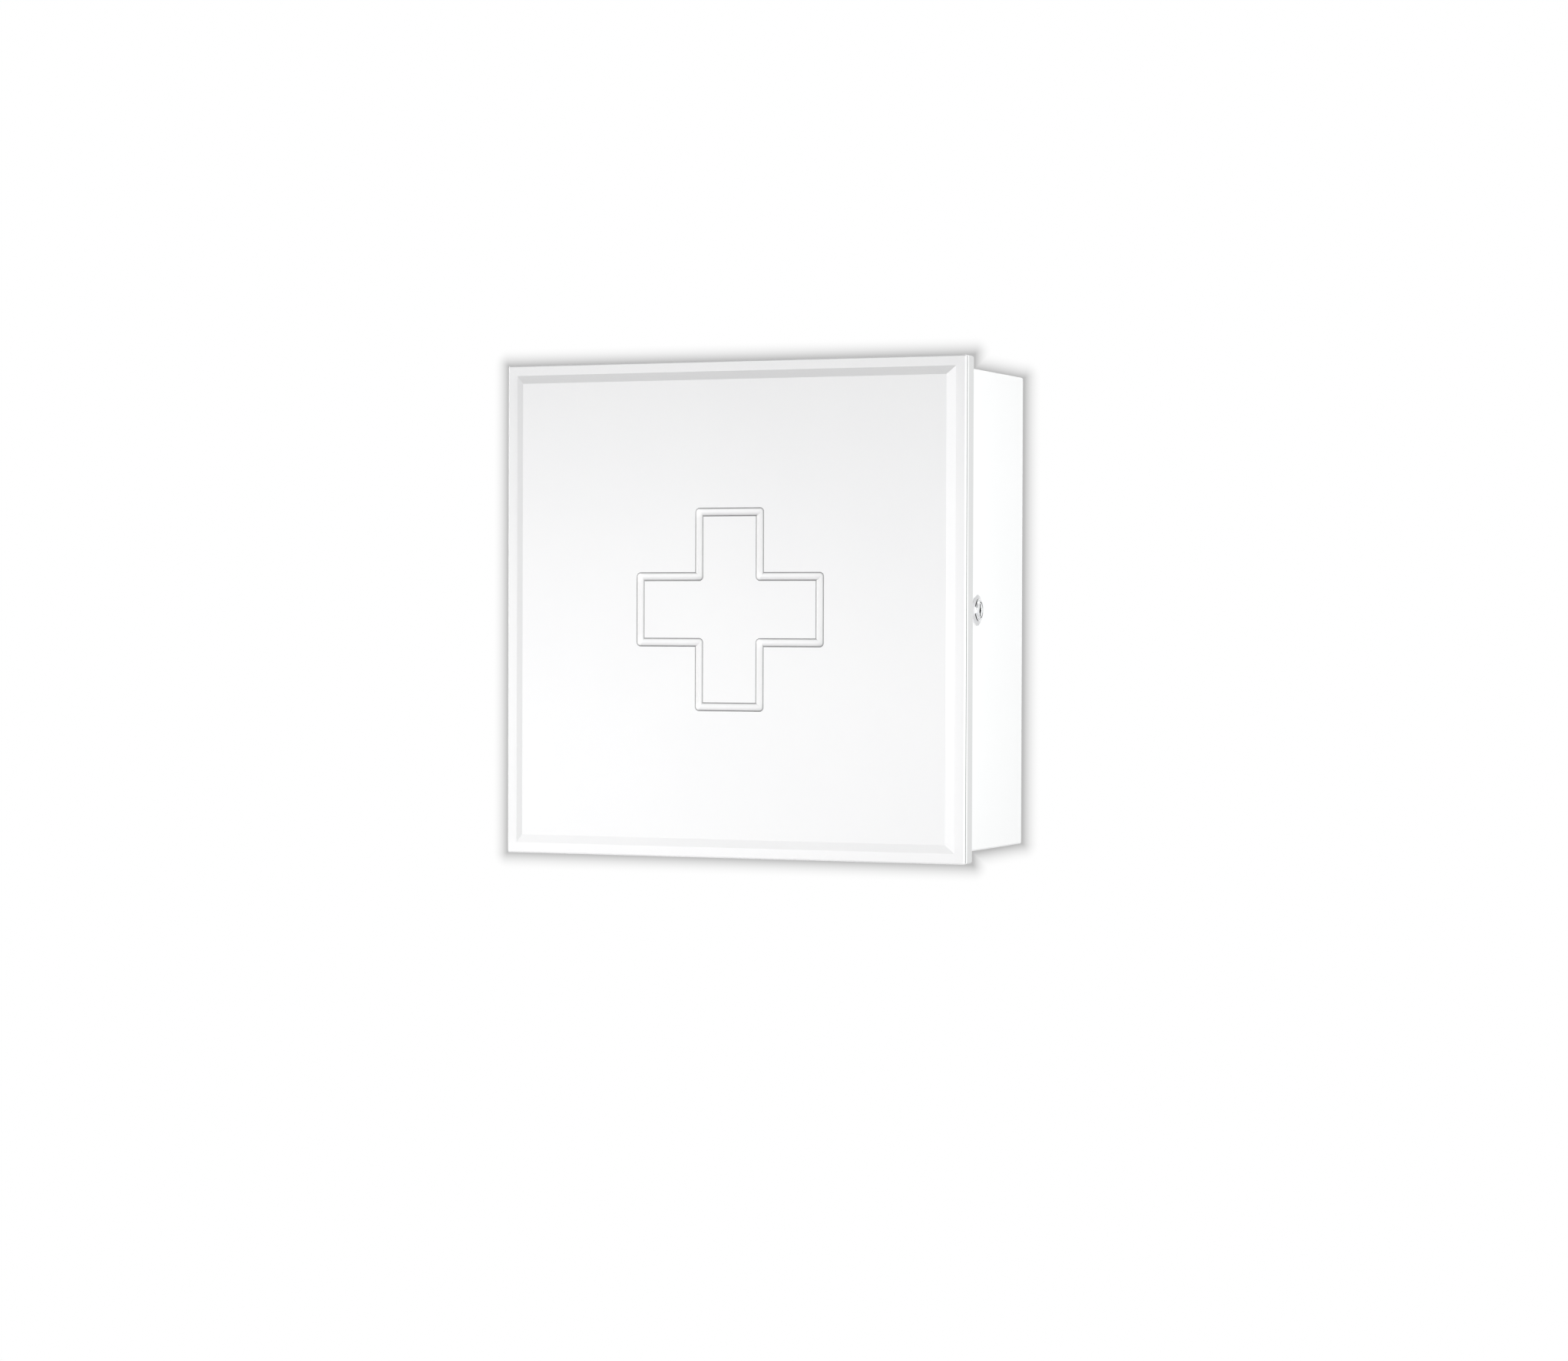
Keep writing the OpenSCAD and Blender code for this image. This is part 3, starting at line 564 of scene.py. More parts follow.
def steepness(x, z):
    """How steep the groove is at a point, 1 at its edge, and which way its wall faces: 1 is right."""
    steep = np.arcsin(np.clip(distance_to_cross(x, z) / CUTTER_R, 0, 1)) / edge_angle
    to_right = (distance_to_cross(x - NUDGE, z) - distance_to_cross(x + NUDGE, z)) / (2 * NUDGE)
    return steep, np.clip(to_right, -1, 1)


def painted_groove_shade(x, _, z):
    """Painted shade along the groove's edges: from 0 to 1 over a set part of the way from a part of
    the steepest angle to the edge. That part is one of three: smallest on a wall that faces left,
    larger on one that faces up or down, and largest on one that faces right."""
    steep, to_right = steepness(x, z)
    start = np.interp(to_right, [-1, 0, 1], GROOVE_SHADE_FROM)
    edge_shade = np.clip((steep - start) / (GROOVE_SHADE_UNTIL - GROOVE_SHADE_UNTIL * start), 0, 1)
    return np.where(steep < 1.0001, edge_shade, 0)


def painted_right_wall_light(x, _, z):
    """Painted light: 1 on a wall that faces right and past the groove's floor, 0 on the upper part of
    the wall that faces left, and nowhere where the groove has painted shade."""
    steep, to_right = steepness(x, z)
    past_floor = np.clip((0.4 + steep * np.sign(to_right)) / 0.3, 0, 1)
    return np.where(steep < 1, abs(to_right) * past_floor * (1 - painted_groove_shade(x, 0, z)), 0)


mark(board, "painted_groove_shade", painted_groove_shade)
mark(board, "painted_right_wall_light", painted_right_wall_light)


# %% [markdown]
# ## Folded sheet: the door's tray and the body
# Both are boxes folded from 1 mm steel. A flat sheet with a Solidify modifier could stand in, but
# the bends would come out sharp and the folded flanges would need joining. So the section through
# a wall is drawn as one closed outline, outside and inside, with each bend's own radius, and
# carried round the square. The coat rounds the cut edges by 0.3 mm. A number on the tray's points
# says how far each lies behind the joint with the board, and its coat reads it.

# %% The door's tray
SHEET_T, CUT_EDGE_R = 1.0, 0.3
PAN_DRAFT, PAN_FLANGE, PAN_BEND_R, PAN_BACK_BEND_R = 0.1, 18, 3.2, 1.5
pan_edge = PAN_DRAFT + PAN_FLANGE
pan_profile = soften(
    [[6, board_back_y], [0, board_back_y], [PAN_DRAFT, door_back_y], [pan_edge, door_back_y],
     [pan_edge, door_back_y - SHEET_T], [PAN_DRAFT + SHEET_T, door_back_y - SHEET_T],
     [SHEET_T, board_back_y + SHEET_T], [6, board_back_y + SHEET_T]],
    [PAN_BEND_R, PAN_BACK_BEND_R, CUT_EDGE_R, CUT_EDGE_R, PAN_BACK_BEND_R - SHEET_T,
     PAN_BEND_R - SHEET_T])
tray = round_square(pan_profile, door_half, DOOR_CORNER_R)
door_tray = make_piece(
    "door_tray_folded", [table(tray, close_columns=True), cap(tray[0]), cap(tray[-1])],
    "door", pan_coat, ["door_pan"])


# This number places the bands of painted shade and painted highlight on the tray's side.
def behind_joint(x, y, z):
    """0 at the board's back and 1 from PAINTED_BANDS_W mm behind it, and 1 all over the inside, which
    lies a sheet's thickness further in."""
    inset = door_half - np.maximum(abs(x), abs(z))
    outside = (inset < 0.99 * SHEET_T) | (y < board_back_y + 0.95 * SHEET_T)
    behind = np.clip((y - board_back_y) / PAINTED_BANDS_W, 0, 1)
    return np.where(outside & (inset < PAN_BEND_R + 0.1), behind, 1)


mark(door_tray, "behind_joint", behind_joint)


# %% [markdown]
# ### The body and its screw holes
# The body's back has four screw holes. A hole in a table of points is a square of cells left out
# and a second table put in its place, whose first line runs round the square and whose next lines
# are circles. The same table goes on through the hole and out to the inner face, so the hole's
# edges are round and its wall is closed.

# %% The body
BODY_CORNER_R, BACK_BEND_R, FRONT_BEND_R, BODY_FLANGE = 1.2, 3, 2, 12
HOLE_AT, HOLE_R, HOLE_SQUARE, HOLE_CELLS = 110, 3, 6, 8
BACK_EDGE = 5
BODY_SHEETS = ["body_back", "body_front_frame", "body_left_side", "body_right_side", "body_top",
               "body_bottom"]
back_half = wall_x - BACK_EDGE


def holed_plate(lines, y):
    """A square table of points at depth y, without the cells of the four squares round the holes."""
    x, z = np.meshgrid(lines, lines, indexing="ij")
    middle = (lines[1:] + lines[:-1]) / 2
    in_square = abs(abs(middle) - HOLE_AT) < HOLE_SQUARE
    keep = ~(in_square[:, None] & in_square[None, :])
    return table(np.stack([x, np.full_like(x, y), z], -1), keep=keep)


def screw_hole(x, z, outer_y, inner_y):
    """From the square's edge at the outer face, through the hole, to the square's edge inside."""
    side = np.linspace(-1, 1, HOLE_CELLS + 1)[:-1]
    one = np.ones_like(side)
    square_x = HOLE_SQUARE * np.concatenate([side, one, -side, -one])
    square_z = HOLE_SQUARE * np.concatenate([-one, side, one, -side])
    away = np.hypot(square_x, square_z)
    wall = soften([[HOLE_R + 1, outer_y], [HOLE_R, outer_y], [HOLE_R, inner_y], [HOLE_R + 1, inner_y]],
                  CUT_EDGE_R)
    r = np.concatenate([away[None], wall[:, :1] * np.ones_like(away), away[None]])
    y = np.concatenate([[outer_y], wall[:, 1], [inner_y]])[:, None] * np.ones_like(away)
    return table(np.stack([x + r * square_x / away, y, z + r * square_z / away], -1), close_columns=True)


hole_lines = HOLE_AT + np.linspace(-HOLE_SQUARE, HOLE_SQUARE, HOLE_CELLS + 1)
back_lines = np.unique(np.concatenate([np.linspace(0, 90, 4), hole_lines, [back_half]]))
back_lines = np.concatenate([-back_lines[:0:-1], back_lines])
body_profile = soften(
    [[BACK_EDGE, 0], [0, 0], [0, body_front_y], [BODY_FLANGE, body_front_y],
     [BODY_FLANGE, body_front_y + SHEET_T], [SHEET_T, body_front_y + SHEET_T],
     [SHEET_T, -SHEET_T], [BACK_EDGE, -SHEET_T]],
    [BACK_BEND_R, FRONT_BEND_R, CUT_EDGE_R, CUT_EDGE_R, FRONT_BEND_R - SHEET_T, BACK_BEND_R - SHEET_T])
walls = round_square(body_profile, wall_x, BODY_CORNER_R, lines=back_lines[-2:0:-1])
holes = [screw_hole(x, z, 0, -SHEET_T) for x in (-HOLE_AT, HOLE_AT) for z in (-HOLE_AT, HOLE_AT)]
make_piece("cabinet_body_folded",
           [table(walls, close_columns=True), holed_plate(back_lines, 0),
            holed_plate(back_lines, -SHEET_T), *holes],
           "cabinet", body_coat, BODY_SHEETS)


# %% [markdown]
# ## Round and flat small parts
# The small metal parts come off two machines. Turned ones, such as rivets, pins and washers, are a
# profile carried round an axis. Stamped ones, such as the brackets and the strike, are a flat
# outline with a thickness. Blender's cylinders and cubes would have hard edges everywhere, so both
# helpers work the whole surface out, with its rounded edges. Coordinates across an axis are always
# the next two in the order X, Y, Z: across X they are Y and Z, across Y they are Z and X.

# %% Turned and stamped shapes
ACROSS = {"X": (1, 2, 0), "Y": (2, 0, 1), "Z": (0, 1, 2)}


def along(u, v, height, centre, axis):
    """Points from two coordinates across an axis and the height along it."""
    local = np.stack(np.broadcast_arrays(u, v, height), -1)
    points = np.empty_like(local, dtype=float)
    points[..., list(ACROSS[axis])] = local
    return points + np.asarray(centre, float)


def to_line(distance, part):
    """How far a ray goes until it meets a straight line: distance / |part|, where distance is the
    line's own and part is the cosine or the sine of the ray's angle."""
    return distance / np.maximum(abs(part), 1e-6)


def all_round(quarter):
    """The angles of a quarter turn, mirrored to the next one, and both again half a turn on."""
    quarter = np.unique(np.round(np.concatenate(quarter), 6))
    half_turn = np.concatenate([quarter, np.pi - quarter[-2::-1]])
    return np.concatenate([half_turn[:-1], half_turn[:-1] + np.pi])


def turned(r, height, centre, axis, angles=None, close_rows=False):
    """The points (r cos t, r sin t) at each height, for all angles t round an axis.

    r and height have one value a row, or one for each row and angle. A row with r = 0 is a pole.
    """
    angles = np.linspace(0, 2 * np.pi, 24, endpoint=False) if angles is None else angles
    r, height = (np.asarray(value, float) for value in (r, height))
    r, height = (value[:, None] if value.ndim == 1 else value for value in (r, height))
    r, height = np.broadcast_arrays(r, height + 0 * angles)
    return table(along(r * np.cos(angles), r * np.sin(angles), height, centre, axis),
                 close_rows, close_columns=True)


def stamped(outline, low, high, centre, axis, soft=0.15, steps=3):
    """A flat outline with a thickness. Its edges are arcs: at angle a, the outline has moved
    inwards by soft (1 - sin a) and the height has risen by soft (1 - cos a) from its end. soft is
    less than the outline's smallest outer radius, or else the caps would cross themselves."""
    outline = np.asarray(outline, float)
    ahead = np.roll(outline, -1, 0) - outline
    turn = np.sign((outline[:, 0] * ahead[:, 1] - outline[:, 1] * ahead[:, 0]).sum())
    ahead /= np.linalg.norm(ahead, axis=1, keepdims=True)
    inwards = turn * np.stack([-ahead[:, 1], ahead[:, 0]], -1)
    inwards = inwards + np.roll(inwards, 1, 0)
    inwards *= 2 / (inwards**2).sum(1, keepdims=True)
    a = np.linspace(0, np.pi / 2, steps + 1)
    inset, rise = soft * (1 - np.sin(a)), soft * (1 - np.cos(a))
    inset = np.concatenate([inset, inset[::-1]])[:, None, None]
    height = np.concatenate([low + rise, high - rise[::-1]])[:, None]
    flat = outline + inwards * inset
    points = along(flat[..., 0], flat[..., 1], height, centre, axis)
    return [table(points, close_columns=True), cap(points[0]), cap(points[-1])]


print("a point 5 mm up and 1 mm across from X:", along(1, 0, 5, (0, 0, 0), "X"))


# %% [markdown]
# ## The cam lock: its housing
# The housing is turned from one bar: a conical flange that lies on the wall, a threaded barrel with
# two flats that keep it from turning, and a bore for the plug. On the flange's top stands a flat
# ring. The step at its foot and the chamfer at its inner edge show as dark arcs, and painted shade
# darkens the side of the step towards the door, above and below its middle. All of it is one closed
# profile. Where the section isn't round, the radius is a table: a flat at distance f from the axis
# limits it to f / |cos t|.

# %% Lock housing
FLANGE_R, FLANGE_EDGE, CONE_TOP_R, CONE_TOP = 9.25, 0.4, 6.6, 1.8
SEAT_R, SEAT_DEPTH, BORE_R = 5.35, -1.0, 4.85
BARREL_R, FLAT_AT, BARREL_END = 7.0, 6.0, -16.0
THREAD_PITCH, THREAD_DEPTH, ROWS_A_TURN = 1.0, 0.45, 7
SLOT_HALF, SLOT_REACH, SLOT_START = 2.2, 5.9, -1.5
STEP_LOW, STEP_MARGIN, SEAT_CHAMFER = 1.3, 0.35, 0.3
# The width of the painted shade at the step, and the top that it leaves unshaded.
STEP_SHADE_W, UNSHADED_TOP = 0.12, 0.05
lock_seat = (wall_x, lock_at[1], lock_at[2])

flat_corner = np.arccos(FLAT_AT / BARREL_R)
slot_corners = [np.arccos(SLOT_HALF / BORE_R), np.arctan2(SLOT_REACH, SLOT_HALF)]
barrel_t = all_round([np.linspace(0, np.pi / 2, 17), [flat_corner], slot_corners])


def thread_r(height, t):
    """A right-hand thread: the radius falls by THREAD_DEPTH between crests, in a rounded wave whose
    phase is height / pitch - t / (2 pi), and the two flats cut it off."""
    wave = (1 - np.cos(2 * np.pi * height / THREAD_PITCH - t)) / 2
    return np.minimum(BARREL_R - THREAD_DEPTH * wave, to_line(FLAT_AT, np.cos(t)))


def slotted_bore(t):
    """The plug's bore, with a slot up and down that the wafers drop into."""
    return np.maximum(BORE_R, np.minimum(to_line(SLOT_HALF, np.cos(t)), to_line(SLOT_REACH, np.sin(t))))


# The point just outside the step keeps the painted shade of the step's foot from spreading over the cone.
face = soften(
    [[BARREL_R, 0], [FLANGE_R, 0], [FLANGE_R, FLANGE_EDGE],
     [CONE_TOP_R + STEP_MARGIN, STEP_LOW - 0.1], [CONE_TOP_R, STEP_LOW], [CONE_TOP_R, CONE_TOP],
     [SEAT_R + SEAT_CHAMFER, CONE_TOP], [SEAT_R, CONE_TOP - SEAT_CHAMFER], [SEAT_R, SEAT_DEPTH],
     [BORE_R, SEAT_DEPTH]],
    [0.1, 0.15, 0.05, 0.1, 0.1, 0.08, 0.08, 0.05], steps=3)
ring = np.ones_like(barrel_t)
slot_rows = np.array([SLOT_START, BARREL_END])
thread_rows = np.linspace(BARREL_END, 0, round(-BARREL_END / THREAD_PITCH) * ROWS_A_TURN + 1)
radius = np.concatenate([face[:, :1] * ring, [BORE_R * ring], slotted_bore(barrel_t) * np.ones((2, 1)),
                         thread_r(thread_rows[:, None], barrel_t)])
height = np.concatenate([face[:, 1], [SLOT_START], slot_rows, thread_rows])
housing = make_piece(
    "lock_housing_threaded", [turned(radius, height, lock_seat, "X", barrel_t, close_rows=True)],
    "cabinet", chrome, ["lock_housing"])


def seen_from_lock(rule):
    """Lets a rule about (distance from the lock's axis, height over the wall, towards the door, up)
    read x, y, z. The last two are parts of the distance, from -1 to 1."""
    def read(x, y, z):
        r = np.hypot(y - lock_at[1], z - lock_at[2])
        per_r = 1 / np.maximum(r, 1e-6)
        return rule(r, x - wall_x, (lock_at[1] - y) * per_r, (z - lock_at[2]) * per_r)
    return read


def shaded_flank(to_side, up):
    """Where painted shade darkens a ring: on one side of it, but not in the middle of that side."""
    return np.clip(3 * to_side, 0, 1) * np.clip((abs(up) - 0.2) / 0.2, 0, 1)


def step_painted_shade(r, h, door, up):
    """Painted shade on the side and the foot of the step, towards the door."""
    return (abs(r - CONE_TOP_R) < STEP_SHADE_W) * (h < CONE_TOP - UNSHADED_TOP) * shaded_flank(door, up)


mark(housing, "painted_shade", seen_from_lock(step_painted_shade))


# %% [markdown]
# ### The plug and its keyway
# The plug turns with the key. Its keyway is a slot that two side grooves widen, and it is broached
# deep into the plug, so its depth reads as black, and painted shade darkens it further. A boolean
# could cut it, but the same table does: the keyway is seen from its middle, so its wall is one
# radius for each angle, the largest of what the slot and the two round grooves give. A shallow
# groove is turned into the face near its edge, and at the back the plug ends in a square for the
# cam. Painted shade darkens that groove on the side away from the door.

# %% Plug
PLUG_FACE, PLUG_R, STEM_R, STEM_END, SQUARE_HALF, SQUARE_END = 2.1, 5.3, 4.8, -16.5, 3.0, -18.5
SCREW_R, SCREW_DEPTH, KEYWAY_DEPTH, KEY_HALF_W, KEY_HALF_H = 2.0, -11.5, -10.0, 0.65, 3.7
KEY_CHAMFER, KEY_GROOVES = 0.12, [(0.35, 0.3, 1.35), (-0.1, -0.8, 1.2)]
GROOVE_FROM, GROOVE_TO, GROOVE_SLOPE, GROOVE_DEEP = 4.4, 5.1, 0.05, 0.25

slot_end = np.arctan2(KEY_HALF_H, KEY_HALF_W)
plug_t = all_round([np.linspace(0, np.pi / 2, 19), [np.pi / 4, slot_end]])


def keyway_r(t):
    """How far the keyway reaches at each angle: out of the slot at w / |cos t| or h / |sin t|, and
    out of a round groove of radius R at c at d + sqrt(R^2 - |c|^2 + d^2), with d = c along the ray."""
    reach = np.minimum(to_line(KEY_HALF_W, np.cos(t)), to_line(KEY_HALF_H, np.sin(t)))
    for y, z, r in KEY_GROOVES:
        d = y * np.cos(t) + z * np.sin(t)
        inside = r**2 - y**2 - z**2 + d**2
        reach = np.maximum(reach, np.where(inside > 0, d + np.sqrt(np.maximum(inside, 0)), 0))
    return reach


def square_r(t, half):
    """The outline of a square seen from its middle."""
    return half / np.maximum(abs(np.cos(t)), abs(np.sin(t)))


rim_of_face = soften([[PLUG_R - 0.5, PLUG_FACE], [PLUG_R, PLUG_FACE], [PLUG_R, SEAT_DEPTH]],
                     0.15, steps=3)[1:]
face_groove = [[GROOVE_FROM, PLUG_FACE], [GROOVE_FROM + GROOVE_SLOPE, PLUG_FACE - GROOVE_DEEP],
               [GROOVE_TO - GROOVE_SLOPE, PLUG_FACE - GROOVE_DEEP], [GROOVE_TO, PLUG_FACE]]
rim_of_face = np.concatenate([face_groove, rim_of_face])
ring = np.ones_like(plug_t)
key = keyway_r(plug_t)
radius = np.stack([0 * ring, key, key, key + KEY_CHAMFER, *(r * ring for r in rim_of_face[:, 0]),
                   STEM_R * ring, STEM_R * ring, square_r(plug_t, SQUARE_HALF),
                   square_r(plug_t, SQUARE_HALF), SCREW_R * ring, SCREW_R * ring, 0 * ring])
height = np.concatenate([[KEYWAY_DEPTH, KEYWAY_DEPTH, PLUG_FACE - KEY_CHAMFER, PLUG_FACE],
                         rim_of_face[:, 1], [SEAT_DEPTH, STEM_END, STEM_END],
                         [SQUARE_END, SQUARE_END, SCREW_DEPTH, SCREW_DEPTH]])
plug = make_piece("lock_plug_keyed", [turned(radius, height, lock_seat, "X", plug_t)],
                  "lock_core", chrome, ["lock_plug"])


def plug_painted_shade(r, h, door, up):
    """Painted shade in the whole keyway, and in the face's groove on the side away from the door."""
    in_keyway = h > KEYWAY_DEPTH - 1
    in_groove = (r > GROOVE_FROM + 0.02) * (r < GROOVE_TO - 0.02) * (h > 0)
    shaded = np.where(r < KEY_HALF_H + 0.3, in_keyway, in_groove * shaded_flank(-door, up))
    return (h < PLUG_FACE - UNSHADED_TOP) * shaded


mark(plug, "painted_shade", seen_from_lock(plug_painted_shade))


# %% [markdown]
# ### The nut
# Behind the wall, a hexagon nut draws the lock tight. It is a six-sided bar whose corners a cone has
# cut off on both faces. In the table that cut is a height for each angle: the farther out a corner
# reaches, the deeper the cone meets it.

# %% Nut
NUT_FLATS, NUT_LOW, NUT_HIGH, NUT_CONE = 17.0, -4.6, -1.6, np.tan(np.radians(30))
NUT_MOUTH = 0.25
nut_t = np.linspace(0, 2 * np.pi, 72, endpoint=False)
sixth = np.pi / 3
hexagon = NUT_FLATS / 2 / np.cos(nut_t % sixth - sixth / 2)
circle = np.full_like(nut_t, NUT_FLATS / 2 - 0.1)
bevel = (hexagon - circle) * NUT_CONE
ring = np.ones_like(nut_t)
radius = np.stack([(BARREL_R + NUT_MOUTH) * ring, BARREL_R * ring, BARREL_R * ring,
                   (BARREL_R + NUT_MOUTH) * ring, circle, hexagon, hexagon, circle])
height = np.stack([NUT_LOW * ring, (NUT_LOW + NUT_MOUTH) * ring, (NUT_HIGH - NUT_MOUTH) * ring,
                   NUT_HIGH * ring, NUT_HIGH * ring, NUT_HIGH - bevel, NUT_LOW + bevel, NUT_LOW * ring])
make_piece("lock_nut_chamfered", [turned(radius, height, lock_seat, "X", nut_t, close_rows=True)],
           "cabinet", zinc, ["lock_nut"])


# %% [markdown]
# ### The cam, its washer and its screw
# A flat cam is screwed to the plug's square. It is a stadium with a square hole, and both outlines
# are seen from the hole's middle, with the same angles. The screw's head is a low dome with a cross
# pressed into it: the cross is two crossed slots, and each is a rectangle seen from its middle.

# %% Cam, its washer and its screw
CAM_HALF_W, CAM_REACH, CAM_EDGE = 5.0, 22.0, 0.2
WASHER_R, WASHER_HOLE_R, WASHER_END = 4.4, 2.1, -19.3
HEAD_R, HEAD_END, HEAD_EDGE, DOME_RISE = 3.6, -21.5, 0.9, 0.5
CROSS_HALF_W, CROSS_HALF_L, CROSS_DEPTH, CROSS_FLOOR = 0.4, 2.0, 1.2, 0.6

upper, lower = np.linspace(0, np.pi, 13), np.linspace(np.pi, 2 * np.pi, 13)
far_end = CAM_REACH - CAM_HALF_W
cam_outline = np.concatenate([
    CAM_HALF_W * np.stack([np.cos(upper), np.sin(upper)], -1), [[-CAM_HALF_W, -CAM_HALF_W]],
    CAM_HALF_W * np.stack([np.cos(lower), np.sin(lower)], -1) - [0, far_end],
    [[CAM_HALF_W, -CAM_HALF_W]]])
cam_t, cam_r = np.arctan2(cam_outline[:, 1], cam_outline[:, 0]), np.hypot(*cam_outline.T)
hole_r = square_r(cam_t, SQUARE_HALF)
radius = np.stack([hole_r, cam_r - CAM_EDGE, cam_r - CAM_EDGE * 0.3, cam_r, cam_r,
                   cam_r - CAM_EDGE * 0.3, cam_r - CAM_EDGE, hole_r])
height = [SQUARE_END, SQUARE_END, SQUARE_END + CAM_EDGE * 0.3, SQUARE_END + CAM_EDGE,
          STEM_END - CAM_EDGE, STEM_END - CAM_EDGE * 0.3, STEM_END, STEM_END]
make_piece("lock_cam_stamped", [turned(radius, height, lock_seat, "X", cam_t, close_rows=True)],
           "lock_core", zinc, ["lock_cam"])

washer = soften([[WASHER_HOLE_R, WASHER_END], [WASHER_R, WASHER_END], [WASHER_R, SQUARE_END],
                 [WASHER_HOLE_R, SQUARE_END]], 0.12, steps=3, closed=True)
make_piece("cam_washer_turned", [turned(*washer.T, lock_seat, "X", close_rows=True)],
           "lock_core", zinc, ["cam_washer"])

eighth = np.array([0, np.arctan2(CROSS_HALF_W, CROSS_HALF_L), np.pi / 4 - 0.25, np.pi / 4])
quarter = np.concatenate([eighth, np.pi / 2 - eighth[-2:0:-1]])
screw_t = np.concatenate([quarter + turn * np.pi / 2 for turn in range(4)])
slots = [np.minimum(to_line(across, np.cos(screw_t)), to_line(upwards, np.sin(screw_t)))
         for across, upwards in ((CROSS_HALF_W, CROSS_HALF_L), (CROSS_HALF_L, CROSS_HALF_W))]
cross = np.maximum(*slots)
ring = np.ones_like(screw_t)
radius = np.stack([0 * ring, CROSS_FLOOR * cross, cross, 2.6 * ring, 3.3 * ring, HEAD_R * ring,
                   HEAD_R * ring, SCREW_R * ring, SCREW_R * ring, 0 * ring])
dome = HEAD_END + DOME_RISE * (radius / HEAD_R) ** 2
height = np.stack([(HEAD_END + CROSS_DEPTH) * ring, (HEAD_END + CROSS_DEPTH) * ring, dome[2], dome[3],
                   dome[4], (HEAD_END + HEAD_EDGE) * ring, WASHER_END * ring, WASHER_END * ring,
                   (SCREW_DEPTH - 0.2) * ring, (SCREW_DEPTH - 0.2) * ring])
make_piece("cam_screw_cross_head", [turned(radius, height, lock_seat, "X", screw_t)],
           "lock_core", zinc, ["cam_screw"])


# %% [markdown]
# ## The hinges
# A hinge leaf is one strip of steel whose edge is rolled round the pin, with cut-outs that leave
# room for the other leaf's knuckle. A slab with a tube beside it would look welded, so the leaf's
# section is drawn as one path: along the slab, down a small step, and round the pin for 300
# degrees. Half the thickness to either side of the path gives a closed outline, and the table
# carries it up the leaf. Between knuckles, the cells past the cut are left out and the cut's edges
# get faces of their own.

# %% A rolled leaf
HINGE_HALF, KNUCKLE_HALF, KNUCKLE_GAP = 25.0, 9.7, 0.3
LEAF_T, ROLL_R, ROLL_END = 1.2, 1.95, np.radians(390)


def rolled_leaf(far, cut, across):
    """A leaf's section as a closed outline, and the place along it where the cut-out starts.

    The path is (along, across) the pin's axis: from far at distance across, straight to cut, then a
    cosine step to ROLL_R over the pin, and then the circle (ROLL_R cos a, ROLL_R sin a).
    """
    step = np.linspace(0, 1, 7)[1:-1]
    down = np.stack([cut * (1 - step), ROLL_R + (across - ROLL_R) * (1 + np.cos(np.pi * step)) / 2], -1)
    a = np.linspace(np.pi / 2, ROLL_END, 21)
    roll = ROLL_R * np.stack([np.cos(a), np.sin(a)], -1)
    path = np.concatenate([[[far, across], [cut, across]], down, roll])
    way = np.gradient(path, axis=0)
    way[:2] = [-1, 0]
    way /= np.linalg.norm(way, axis=1, keepdims=True)
    side = LEAF_T / 2 * np.stack([-way[:, 1], way[:, 0]], -1)
    return np.concatenate([path + side, (path - side)[::-1]]), 1


def leaf_tables(section, cut_row, lines, has_knuckle, place):
    """The leaf between the heights in lines. has_knuckle says, for each stretch, whether the roll is
    there. place turns (along, across, height) into points of the frame."""
    count = len(section)
    points = place(section[:, None, 0], section[:, None, 1], np.asarray(lines)[None, :])
    in_roll = np.zeros(count, bool)
    in_roll[cut_row:count - 1 - cut_row] = True
    keep = ~in_roll[:, None] | np.asarray(has_knuckle)[None, :]
    tables = [table(points, close_rows=True, keep=keep)]
    roll = points[cut_row:count - cut_row]
    for stretch, knuckle in enumerate(has_knuckle):
        if not knuckle:
            edge = roll[[0, 0, -1, -1], [stretch, stretch + 1, stretch + 1, stretch]]
            tables.append(cap(edge))
    inner = [i for i in range(1, len(lines) - 1) if has_knuckle[i - 1] != has_knuckle[i]]
    tables += [cap(roll[:, i]) for i in inner]
    slab = np.concatenate([points[:cut_row + 1], points[count - 1 - cut_row:]])
    for end, stretch in ((0, 0), (-1, -1)):
        tables.append(cap(points[:, end] if has_knuckle[stretch] else slab[:, end]))
    return tables


# %% [markdown]
# ### Two hinges
# Each hinge has a leaf on the body with two knuckles, a leaf on the door with one between them, and
# a pin with a low dome at both ends. The body's leaf lies on the left wall and the door's on the
# back of the tray, so one function draws both sections, and each is then turned to its own side.
# The pin stays with the cabinet.

# %% Leaves and pins
HINGE_Z, BODY_CUT, DOOR_CUT, BODY_FAR, DOOR_FAR = 95.0, 3.1, 3.1, 17.0, 13.7
ends = [-HINGE_HALF, -KNUCKLE_HALF - KNUCKLE_GAP, KNUCKLE_HALF + KNUCKLE_GAP, HINGE_HALF]
middle = [-HINGE_HALF, -KNUCKLE_HALF, KNUCKLE_HALF, HINGE_HALF]
body_across = -wall_x - LEAF_T / 2 - pin_at[0]
door_across = pin_at[1] - (door_back_y + LEAF_T / 2)
PIN_R, PIN_HEAD_R, PIN_HEAD_H = 1.25, 1.65, 0.5
head_t = np.linspace(np.pi / 2, 0, 5)
pin_head = np.stack([PIN_HEAD_R * np.cos(head_t), HINGE_HALF + PIN_HEAD_H * np.sin(head_t)], -1)
pin_end = np.concatenate([pin_head, [[PIN_R, HINGE_HALF]]])
pin_side = np.concatenate([pin_end, pin_end[::-1] * [1, -1]])

